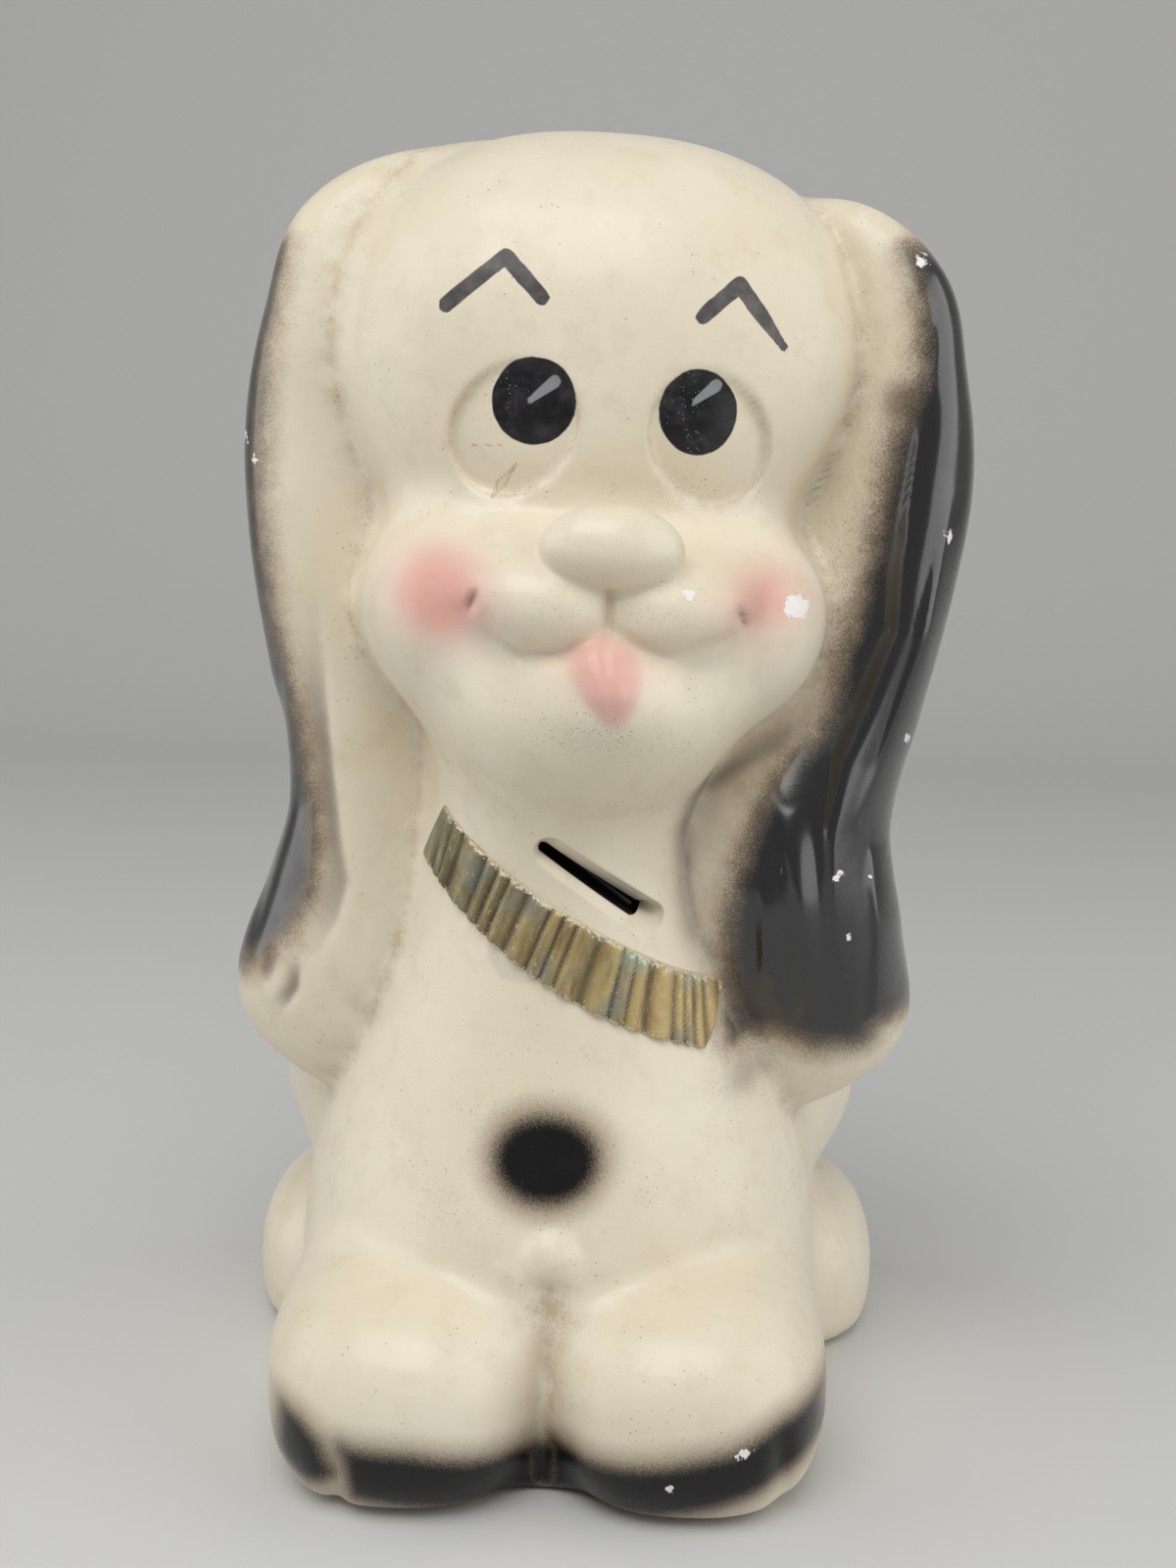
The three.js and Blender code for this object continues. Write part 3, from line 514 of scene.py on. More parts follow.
def half_skin(side, columns, rows, gain):
    """Half of the skin as a grid. Each column follows rays from the axis, level up to the skull and then
    swinging over the crown, so the last row and both outer columns lie in the parting plane. The points
    are then spaced evenly along columns and rows by turns, and settled onto the skin."""
    low_rows = round(LOW_SHARE * rows)
    u = np.linspace(-1, 1, columns // 2 + 1)[:, None]
    climb = np.linspace(0, RAY_LEVEL + RAY_SWING, RAYS)[None, :]
    level = np.stack([np.sin(u * math.pi / 2), side * np.cos(u * math.pi / 2), 0 * u], -1)
    crown = np.stack([np.sin(u * math.pi / 4), 0 * u, np.cos(u * math.pi / 4)], -1)
    between = np.arccos(np.clip((level * crown).sum(-1), -1, 1))[..., None]
    swing = np.clip((climb - RAY_LEVEL) / RAY_SWING, 0, 1)[..., None]
    aim = np.sin((1 - swing) * between) * level + np.sin(swing * between) * crown
    aim /= np.linalg.norm(aim, axis=-1, keepdims=True)
    start = np.zeros(aim.shape)
    start[..., 1] = SEAM_Y
    start[..., 2] = np.minimum(climb, RAY_LEVEL)
    reach = np.full(aim.shape[:2], RAY_START)
    for _ in range(45):
        reach -= 0.6 * np.clip(skin(start + reach[..., None] * aim), -2, 60)
    grid = start + reach[..., None] * aim
    grid = spaced_columns(grid, SPLIT_RAY, low_rows, rows, gain, 8)
    flipped = grid.swapaxes(0, 1)
    grid = respace(flipped, columns + 1, closeness(flipped, gain), 10).swapaxes(0, 1)
    free = np.ones(grid.shape)
    free[[0, -1], :, 1] = 0
    free[:, -1, 1] = 0
    free[:, 0, 2] = 0
    grid = settle(grid, free, 2)
    grid = spaced_columns(grid, low_rows, low_rows, rows, gain, 14)
    for _ in range(8):
        even = grid.copy()
        even[1:-1, 1:-1] += grid[2:, 1:-1] + grid[:-2, 1:-1] + grid[1:-1, 2:] + grid[1:-1, :-2]
        even[1:-1, 1:-1] /= 5
        grid = settle(even, free, 1)
    grid[..., 1] = np.where(free[..., 1] == 0, SEAM_Y, grid[..., 1])
    return settle(grid, free, 3)


FRONT_COLUMNS, FRONT_ROWS, FACE_GAIN = 340, 264, 1.6
front_grid = half_skin(-1, FRONT_COLUMNS, FRONT_ROWS, FACE_GAIN)

# Foot of the casting: the bare rim that the figure stands on, with a rebate for the foot plate. A flat ring
# runs in to the rebate, and two rows of points run up its wall.
REBATE_X, REBATE_Y, REBATE_TOP, FOOT_RINGS = 50.3, 56.3, 9.3, 8


def foot_ring(outline, count):
    """Flat points between the foot outline and the oval of the rebate, on lines to the axis, then up the
    rebate's wall. The oval's place on a line follows from a quadratic in the distance from the axis."""
    flat = outline[:, :2] - (0, SEAM_Y)
    aim = flat / np.linalg.norm(flat, axis=1, keepdims=True)
    a = (aim[:, 0] / REBATE_X) ** 2 + (aim[:, 1] / REBATE_Y) ** 2
    b = aim[:, 1] * SEAM_Y / REBATE_Y**2
    c = (SEAM_Y / REBATE_Y) ** 2 - 1
    far = (-b + np.sqrt(b * b - a * c)) / a
    edge = np.zeros(outline.shape)
    edge[:, :2] = aim * far[:, None] + (0, SEAM_Y)
    share = np.linspace(0, 1, count)[None, :, None]
    ring = edge[:, None] * share + outline[:, None] * (1 - share)
    wall = np.repeat(edge[:, None], 2, axis=1)
    wall[..., 2] = (REBATE_TOP / 2, REBATE_TOP)
    return np.concatenate([ring, wall], axis=1)


# Coin slot: cut through the front of the neck into the hollow, as a slit whose mouth is cut back upwards.
# It is let into the skin in place of a block of its grid.
SLOT_X, SLOT_Z, SLOT_TILT = 8.6, 160.6, math.radians(-37)
MOUTH_HALF, MOUTH_DROP, MOUTH_RISE, MOUTH_PAST = 17, 4, 5, 6.5
SLIT_HALF, SLIT_HEIGHT, SLOT_DEPTH = 16, 1.4, 13
SLOT_RINGS, SLIT_RINGS = 16, 4
# The block that it takes up: middle along the slot, half length, half height, and the chest it lies on.
BLOCK_MIDDLE, BLOCK_HALF, BLOCK_RISE, CHEST_Y = 3, 25, 9, -30


def slot_place(x, z):
    """Along and across the slot, for places on the figure's front."""
    return turned_by(x - SLOT_X, z - SLOT_Z, SLOT_TILT)


def from_slot(along, across):
    """Back from along and across the slot to places on the figure's front."""
    x, z = turned_by(along, across, -SLOT_TILT)
    return SLOT_X + x, SLOT_Z + z


def slot_outline(along, across, left, right, middle, half):
    """The nearest point of a bar with round ends, for points outside it."""
    spine = np.clip(along, left + half, right - half)
    gap = np.hypot(along - spine, across - middle)
    return spine + (along - spine) * half / gap, middle + (across - middle) * half / gap


def slot_rings(loop, count):
    """From a loop of skin points round the slot: rings over the skin to the mouth, a small round lip, the
    cut-back slope to the slit, its throat, and an end closed on the slit's own middle line, painted dark as
    shade."""
    along, across = slot_place(loop[:, 0], loop[:, 2])
    half = (MOUTH_DROP + MOUTH_RISE) / 2
    middle = (MOUTH_RISE - MOUTH_DROP) / 2
    mouth = np.stack(slot_outline(along, across, -MOUTH_HALF, MOUTH_HALF + MOUTH_PAST, middle, half))
    slit = np.stack(slot_outline(along, across, -SLIT_HALF, SLIT_HALF, 0, SLIT_HEIGHT))
    line = np.stack([np.clip(along, -SLIT_HALF + SLIT_HEIGHT, SLIT_HALF - SLIT_HEIGHT), 0 * across])
    share = 1 - (1 - np.linspace(0, 1, count + 1)[1:]) ** 1.3
    over = np.stack([along, across])[:, :, None] * (1 - share) + mouth[:, :, None] * share
    x, z = from_slot(*over)
    rings = np.stack([x, np.repeat(loop[:, 1:2], count, axis=1), z], -1)
    rings = settle(rings, np.array((0, 1, 0)), 6)
    blend = np.array([0.04, 0.12, 0.45, 0.94, 1, 1, 1])
    inner = mouth[:, :, None] * (1 - blend) + slit[:, :, None] * blend
    inner = np.concatenate([inner, line[:, :, None]], axis=2)
    above = np.array([0.25, 0.7, 2.4, 4.8, 5.6, 9, SLOT_DEPTH, SLOT_DEPTH])
    below = np.array([0.1, 0.3, 0.8, 1.8, 3.2, 9, SLOT_DEPTH, SLOT_DEPTH])
    depth = below + (above - below) * ramp_up(mouth[1], -2, 2)[:, None]
    throat = np.empty((len(loop), len(above), 3))
    throat[..., 0], throat[..., 2] = from_slot(*inner)
    throat[..., 1] = rings[:, -1:, 1] + depth
    return np.concatenate([rings, throat], axis=1)


along, across = slot_place(front_grid[..., 0], front_grid[..., 2])
near_slot = (np.abs(along - BLOCK_MIDDLE) < BLOCK_HALF) & (np.abs(across) < BLOCK_RISE)
near_slot &= front_grid[..., 1] < CHEST_Y
hit_columns = np.flatnonzero(near_slot.any(axis=1))
hit_rows = np.flatnonzero(near_slot.any(axis=0))
i0, i1, j0, j1 = hit_columns[0] - 1, hit_columns[-1] + 1, hit_rows[0] - 1, hit_rows[-1] + 1
numbers = np.arange(front_grid[..., 0].size).reshape(front_grid.shape[:2])
round_slot = np.concatenate([
    numbers[i0:i1, j0], numbers[i1, j0:j1], numbers[i1:i0:-1, j1], numbers[i0, j1:j0:-1],
])
front_points = front_grid.reshape(-1, 3)
slot_points = slot_rings(front_points[round_slot], SLOT_RINGS)
foot_points = foot_ring(front_grid[:, 0], FOOT_RINGS)

cells = np.ones((FRONT_COLUMNS, FRONT_ROWS), bool)
cells[i0:i1, j0:j1] = False
skin_quads = grid_quads(FRONT_COLUMNS + 1, FRONT_ROWS + 1)[cells.ravel()]
first = len(front_points)
slot_numbers = first + np.arange(slot_points[..., 0].size).reshape(slot_points.shape[:2])
ring_numbers = np.concatenate([round_slot[:, None], slot_numbers], axis=1)
after = np.roll(ring_numbers, -1, axis=0)
slot_cells = [ring_numbers[:, :-1], after[:, :-1], after[:, 1:], ring_numbers[:, 1:]]
slot_quads = np.stack(slot_cells, -1).reshape(-1, 4)
first += slot_points[..., 0].size
foot_quads = grid_quads(foot_points.shape[0], foot_points.shape[1], first)[:, ::-1]
all_points = np.concatenate([front_points, slot_points.reshape(-1, 3), foot_points.reshape(-1, 3)])


def to_frame(points):
    """Sculpting millimetres to metres about the frame's origin."""
    return (points - (MOULD_X, MOULD_Y, 0)) / 1000


front_quads = np.concatenate([skin_quads, slot_quads, foot_quads])
front = new_mesh("front_casting", to_frame(all_points), front_quads)

# Paint of the figure: sprayed through masks, brushed by hand, worn since, and with painted shade laid into
# its creases and hollows. It is given in millimetres as seen from the front. Closed outlines come first, of
# the black on the ears and toes and of a grey stain.
BLACK_RIGHT = [
    (76, 327), (80.5, 312), (81.7, 297), (79.2, 286), (76.2, 276), (74.3, 262), (72.4, 248), (70.6, 235),
    (68.2, 226), (66.2, 217.5), (65.4, 207), (62.3, 199), (55.4, 192.5), (47.7, 179), (43.5, 164.5),
    (41.7, 152.5), (41.4, 143), (44, 129), (46, 116), (57, 117.5), (68, 113.5), (81, 114), (84.5, 119),
    (91, 122), (130, 124), (130, 335),
]
BLACK_LEFT = [
    (-90, 318), (-92.8, 294), (-93.8, 271), (-93.9, 252), (-90.7, 233), (-88.7, 220), (-83, 202.5),
    (-78.5, 185), (-75.3, 169), (-73.8, 158), (-74, 147), (-80.8, 134), (-86.5, 127.5), (-92.4, 123),
    (-130, 120), (-130, 325),
]
TOES = [
    [(-66, 27), (-62, 26), (-57, 22), (-54, 13), (-60, 10), (-68, 14)],
    [(-49, 21), (-32, 20), (-14, 16), (-3, 13), (-2, 1), (-14, 3), (-30, 5), (-47, 8)],
    [(3, 16), (12, 16), (32, 19), (49, 23), (62, 29), (71, 31), (73, 22), (62, 16), (44, 9), (30, 5),
     (12, 3), (3, 2)],
    [(-3, 13), (3, 14), (3, 3), (-3, 3)],
]
GREY_STAIN = [(-22.9, 143.8), (-18, 142.9), (-8.6, 135.9), (-9.1, 133.3), (-17.7, 133.1), (-21.6, 137.7)]
# Ovals: middle across, middle height, half width and half height.
BELLY_SPOT = (-1.6, 89.1, 12.2, 9.7)
PUPILS = [(-18.2, 282.6, 10.7, 11.0), (23.1, 282.3, 9.9, 10.8)]
# Brush lines, and how much half the width of each brow thins towards its end.
BROWS = [[(-41.9, 305), (-27.5, 317.8), (-17.6, 308)], [(22.6, 306), (31.4, 314.7), (44.1, 299.5)]]
BROW_HALF, BROW_THINNING = 2.0, (0, 0.9)
GLINTS = [[(-19.5, 282.4), (-13.2, 287.8)], [(21.6, 284.5), (27.3, 289.3)]]
GLINT_HALF, GLINT_GROWTH = 0.75, 0.9
STAINS = [
    [(-33.4, 270.6), (-25.8, 271.1)],
    [(-27.8, 257.6), (-26.5, 262), (-21.6, 267), (-24.6, 261), (-27.8, 257.6)],
]
STAIN_HALF = 0.4
# Chips: middle across, middle height and size.
CHIPS = [
    (51.7, 235.1, 3.2), (23.7, 238.8, 1.2), (-94.3, 262, 1.3), (-98, 268, 1.2), (92, 254, 1.3),
    (69.1, 163, 1.3), (73.2, 146.5, 1.2), (78.1, 162, 0.9), (85.4, 199, 1.1), (79.5, 325, 1.7),
    (51.9, 23.8, 1.8), (33.2, 14.3, 1.3),
]
# Soft violet-grey lines of painted shade, with some overspray, in the corners of the mouth and along the
# locks
# and edges of the ears: points, and reach to the left and right.
MAUVE_SHADE_LINES = [
    ([(-28.3, 236.6), (-29.5, 233.4), (-30.8, 230)], 0.6, 0.6),
    ([(36.3, 235.7), (37.5, 233), (38.7, 230.2)], 0.6, 0.6),
    ([(-73.7, 213.5), (-73.2, 202), (-70.7, 182.5), (-67.6, 163), (-64.3, 149), (-66.3, 139.5),
      (-70.3, 131)], 4.5, 1.6),
    ([(-75.7, 126), (-76, 119), (-79.6, 112.5)], 3, 1.4), ([(-82.8, 128), (-85, 119)], 3, 1.4),
    ([(62, 205), (57.5, 201.7), (43.9, 191.2), (30.4, 181.6), (27.4, 172.5), (28.9, 157.5), (31.9, 145.4),
      (42.3, 132.6)], 3, 2.2),
]
# Soft spots: middle across, middle height, reach across and up, and strength. Pink of the cheeks and, on the
# turned head, of the mouth; overspray, and painted shade under the chin, along the right of the skull and
# between the paws; overspray and painted shade on the edge of the right ear; painted shade above the paws.
BLUSHES = [(-38.3, 234, 14, 12.5, 1.55), (43, 236.8, 12.5, 11, 1.1)]
MOUTH_BLUSH = [(0, 220, 15, 9, 0.75)]
# Overspray, with painted shade under the chin, along the right of the skull and between the paws.
MISTS_AND_SHADES = [
    (-26, 74, 18, 13, 0.26), (-8, 100, 22, 8, 0.25), (50, 105, 9, 8, 0.8), (76, 288, 5, 7, 1.2),
    (23, 262, 12, 7, 0.3), (-8, 233, 13, 8, 0.22), (18, 233, 13, 8, 0.22), (4, 248, 15, 9, 0.18),
    (66, 288, 6, 30, 0.3), (2, 50, 9, 8, 0.35), (5, 203, 24, 7, 0.42),
]
EAR_MIST_AND_SHADE = [(63, 243, 8, 24, 0.4)]
# Painted shade in the valley between the paws.
PAW_VALLEY_SHADE = [(2, 52, 9, 7, 0.7)]
# Depths before which the face and the paws lie, and the value of what isn't painted.
FACE_Y, PAWS_Y, UNPAINTED = -25, -60, -50


def patch(x, z, outline):
    """Distance into a closed outline: positive inside, by counting the sides that a level line crosses."""
    corners = np.array(outline + outline[:1], float)
    gap, _, _ = stroke(x, z, corners)
    inside = np.zeros(np.shape(x), bool)
    for a, b in zip(corners[:-1], corners[1:]):
        if a[1] != b[1]:
            cross = (a[1] > z) != (b[1] > z)
            inside ^= cross & (x < a[0] + (z - a[1]) * (b[0] - a[0]) / (b[1] - a[1]))
    return np.where(inside, gap, -gap)


def set_values(piece, values):
    """Writes named rows of one value per point as attributes of the mesh."""
    for name, value in values.items():
        held = piece.data.attributes.new(name, "FLOAT", "POINT")
        held.data.foreach_set("value", np.ascontiguousarray(value, np.float32))


def soft_spots(x, z, rows):
    """The sum of soft spots: each is its strength times a bell across and a bell up."""
    return sum(strength * bell(x, a, c) * bell(z, b, d) for a, b, c, d, strength in rows)


def mauve_shade(x, z):
    """The strongest of the mauve lines of painted shade: half a bell to each side, fading at both ends."""
    shade = np.zeros(len(x))
    for line, left, right in MAUVE_SHADE_LINES:
        gap, run, hand = stroke(x, z, line)
        ends = np.sin(math.pi * np.clip(run, 0.03, 0.97)) ** 0.6
        shade = np.maximum(shade, bell(gap, 0, np.where(hand > 0, right, left)) * ends)
    return shade


def crease_dirt_and_shade(x, y, z, d_head, d_body, d_ears):
    """0 to 1 where dirt and painted shade gather: where two forms lie equally near, between and above the
    paws, and along the rims of the eyes, each fading with distance."""
    # Dirt with painted shade where forms meet; painted shade between the paws and round the eyes.
    dirt_and_shade = np.exp(-np.abs(d_ears - np.minimum(d_head, d_body)) / 4)
    dirt_and_shade += 0.4 * np.exp(-np.abs(d_head - d_body) / 5) * (z > 150)
    dirt_and_shade += np.exp(-(np.abs(x - 1.5) / 3.2)) * (z < 58) * (y < PAWS_Y)
    dirt_and_shade += soft_spots(x, z, PAW_VALLEY_SHADE) * (y < PAWS_Y)
    rim, _ = eye_oval(np.abs(face_place(x, y)[0]), z)
    dirt_and_shade += np.exp(-np.abs(rim + 0.3) / 0.8) * (y < FACE_Y)
    return np.clip(dirt_and_shade, 0, 1)


def paint_figure(piece, points):
    """Writes the paint of each point: millimetres into each shape with an edge, less with the depth where
    the paint ends behind, and 0 to 1 for soft colour and painted shade."""
    x, z = upright(points[:, 0], points[:, 2])
    y = points[:, 1]
    turned, ahead = face_place(x, y)
    forms = head(x, y, z), body(x, y, z), ears(x, y, z)
    on_ears = ramp_up(np.minimum(forms[0], forms[1]) - forms[2], 0, 3)
    to_front = ramp_up(-y, 0, 14)
    behind = np.maximum(y + 10, 0) / 25
    black = np.maximum(patch(x, z, BLACK_RIGHT), patch(x, z, BLACK_LEFT))
    toes = np.maximum.reduce([patch(x, z, outline) for outline in TOES])
    belly, *pupils = [-oval(x - a, z - b, c, d) for a, b, c, d in [BELLY_SPOT, *PUPILS]]
    brows = [BROW_HALF - thin * ramp_up(run, 0.6, 1) - gap
             for (gap, run, _), thin in zip([stroke(x, z, line) for line in BROWS], BROW_THINNING)]
    glints = [GLINT_HALF + GLINT_GROWTH * run - gap
              for gap, run, _ in [stroke(x, z, line) for line in GLINTS]]
    stains = [STAIN_HALF - stroke(x, z, line)[0] for line in STAINS]
    chips = np.maximum.reduce([size - np.hypot(x - a, z - b) for a, b, size in CHIPS])
    mist_and_shade = soft_spots(x, z, MISTS_AND_SHADES) + soft_spots(x, z, EAR_MIST_AND_SHADE) * on_ears
    blush = soft_spots(x, z, BLUSHES) + soft_spots(turned, z, MOUTH_BLUSH)
    on_face = {
        "pupil": np.maximum(*pupils), "brow": np.maximum(*brows), "glint": np.maximum(*glints),
        "stain": np.maximum(*stains), "grey": patch(x, z, GREY_STAIN), "tongue": -tongue(turned, ahead, z),
    }
    set_values(piece, {name: np.where(y < FACE_Y, depth, UNPAINTED) for name, depth in on_face.items()})
    set_values(piece, {
        "ear_black": black - 6 * behind**2,
        "spray_black": np.maximum(belly, toes) - 0.5 * np.maximum(y + 66, 0),
        "chip": chips - 0.3 * np.maximum(y + 14, 0),
        "blush": np.where(y < FACE_Y, blush, 0),
        "mauve_painted_shade": mauve_shade(x, z) * to_front,
        "mist_and_shade": mist_and_shade * to_front,
        "shade_and_dirt": crease_dirt_and_shade(x, y, z, *forms),
    })


def past_first(rings):
    """For rings of points: 0 on the first ring, which lies on the skin, and 1 on the others."""
    value = np.ones(rings.shape[:2])
    value[:, 0] = 0
    return value.ravel()


paint_figure(front, all_points)
# The last rings of the slot are painted dark as shade of the hollow.
slit_shade_rings = np.zeros(slot_points.shape[:2])
slit_shade_rings[:, -SLIT_RINGS:] = 1
on_foot = past_first(foot_points)
set_values(front, {
    "slit": np.concatenate([np.zeros(len(front_points)), slit_shade_rings.ravel(), np.zeros(on_foot.size)]),
    "bare": np.concatenate([np.zeros(len(front_points) + slit_shade_rings.size), on_foot]),
})


def linear(colour):
    """A screen colour of 0 to 255 as the light it stands for."""
    c = np.array(colour) / 255
    return tuple(np.where(c <= 0.04045, c / 12.92, ((c + 0.055) / 1.055) ** 2.4)) + (1,)


class Finish:
    """A node material under way, with its colour built up in layers. Its patterns lie on Object coordinates,
    and most methods add one node and give back its output."""

    def __init__(self, name, ground):
        self.material = bpy.data.materials.new(name)
        self.material.use_nodes = True
        self.tree = self.material.node_tree
        self.shader = self.tree.nodes["Principled BSDF"]
        self.place = self.node("TexCoord", {}).outputs["Object"]
        self.colour = ground

    def fill(self, node, inputs):
        """Sets a node's inputs, each to a plain value or to the output of another node."""
        for name, value in inputs.items():
            if isinstance(value, bpy.types.NodeSocket):
                self.tree.links.new(value, node.inputs[name])
            else:
                node.inputs[name].default_value = value
        return node

    def node(self, kind, inputs):
        """A new node with its inputs set."""
        return self.fill(self.tree.nodes.new("ShaderNode" + kind), inputs)

    def spot(self, name):
        """One of the values written on the mesh."""
        node = self.node("Attribute", {})
        node.attribute_name = name
        return node.outputs["Fac"]

    def noise(self, size, detail=3, rough=0.5, stretch=None, place=None):
        """Noise whose marks are about the given size in millimetres, and may be stretched."""
        place = place or self.place
        if stretch:
            place = self.node("Mapping", {"Vector": place, "Scale": stretch}).outputs["Vector"]
        inputs = {"Vector": place, "Scale": 1000 / size, "Detail": detail, "Roughness": rough}
        return self.node("TexNoise", inputs).outputs["Fac"]

    def dots(self, size, solid, clear):
        """Scattered dots, in cells of the given size in millimetres: 1 within a dot's solid share of a cell,
        and 0 past its clear share."""
        cells = self.node("TexVoronoi", {"Vector": self.place, "Scale": 1000 / size})
        return self.step(cells.outputs["Distance"], solid, clear, 1, 0)

    def sum(self, a, b, kind="ADD"):
        """Two values added, or put together in another kind of sum."""
        node = self.node("Math", {0: a, 1: b})
        node.operation = kind
        return node.outputs["Value"]

    def times(self, a, b):
        """Two values multiplied."""
        return self.sum(a, b, "MULTIPLY")

    def swing(self, noise, width):
        """A noise made to swing evenly about 0, over the given width."""
        return self.times(self.sum(noise, 0.5, "SUBTRACT"), width)

    def step(self, value, low, high, to_low=0, to_high=1):
        """An even S from to_low, where the value is low, to to_high, where it is high."""
        inputs = {"Value": value, "From Min": low, "From Max": high, "To Min": to_low, "To Max": to_high}
        node = self.node("MapRange", inputs)
        node.interpolation_type = "SMOOTHSTEP"
        return node.outputs["Result"]

    def over(self, share, below, above):
        """One colour laid over another, each a screen colour of 0 to 255 or a node's output."""
        below, above = (linear(c) if isinstance(c, tuple) else c for c in (below, above))
        node = self.node("Mix", {0: share, 6: below, 7: above})
        node.data_type = "RGBA"
        return node.outputs[2]

    def lay(self, share, paint):
        """Lays a paint over the colour so far, by a share of 0 to 1."""
        self.colour = self.over(share, self.colour, paint)

    def wash(self, value, low, high, most, paint):
        """Lays a paint more and more, up to the most, as a value goes from low to high."""
        self.lay(self.step(value, low, high, 0, most), paint)

    def finish(self, roughness, height, strength):
        """Puts the colour, a roughness and a bump of up to a millimetre on the shader."""
        bump = self.node("Bump", {"Strength": strength, "Distance": 0.001, "Height": height})
        shine = {"Base Color": self.colour, "Roughness": roughness, "Normal": bump.outputs["Normal"]}
        self.fill(self.shader, shine)
        return self.material


# Colours of the figure: lacquer, its dirt and painted shade, what the spray gun laid on, brushwork, and wear.
CREAM, DEEP_CREAM, YELLOWED = (228, 218, 198), (220, 209, 185), (207, 195, 168)
SPECK, DOT, DIRT_AND_SHADE, GRIT = (118, 92, 62), (140, 104, 76), (156, 134, 96), (112, 86, 56)
CHEEK_PINK, TONGUE_PINK = (218, 156, 145), (220, 162, 153)
OVERSPRAY_AND_SHADE, PEPPER, MAUVE_SHADE_COLOUR, GREY = (104, 90, 76), (70, 60, 52), (116, 102, 98), (190, 182, 172)
EAR_FRINGE, EAR_BLACK, EAR_WORN = (120, 96, 70), (14, 14, 16), (150, 147, 142)
SPRAY_FRINGE, SPRAY_BLACK = (112, 90, 68), (12, 12, 13)
BROW_DARK, BROW_PALE = (66, 62, 62), (92, 87, 85)
PUPIL_DARK, PUPIL_PALE, PUPIL_FLECK = (13, 12, 15), (44, 41, 45), (190, 186, 178)
GLINT_GREY, STAIN_BROWN = (146, 151, 153), (168, 132, 74)
CHIP_WHITE, FOOT_PLASTER, SLIT_SHADE = (234, 231, 226), (206, 197, 178), (12, 11, 11)


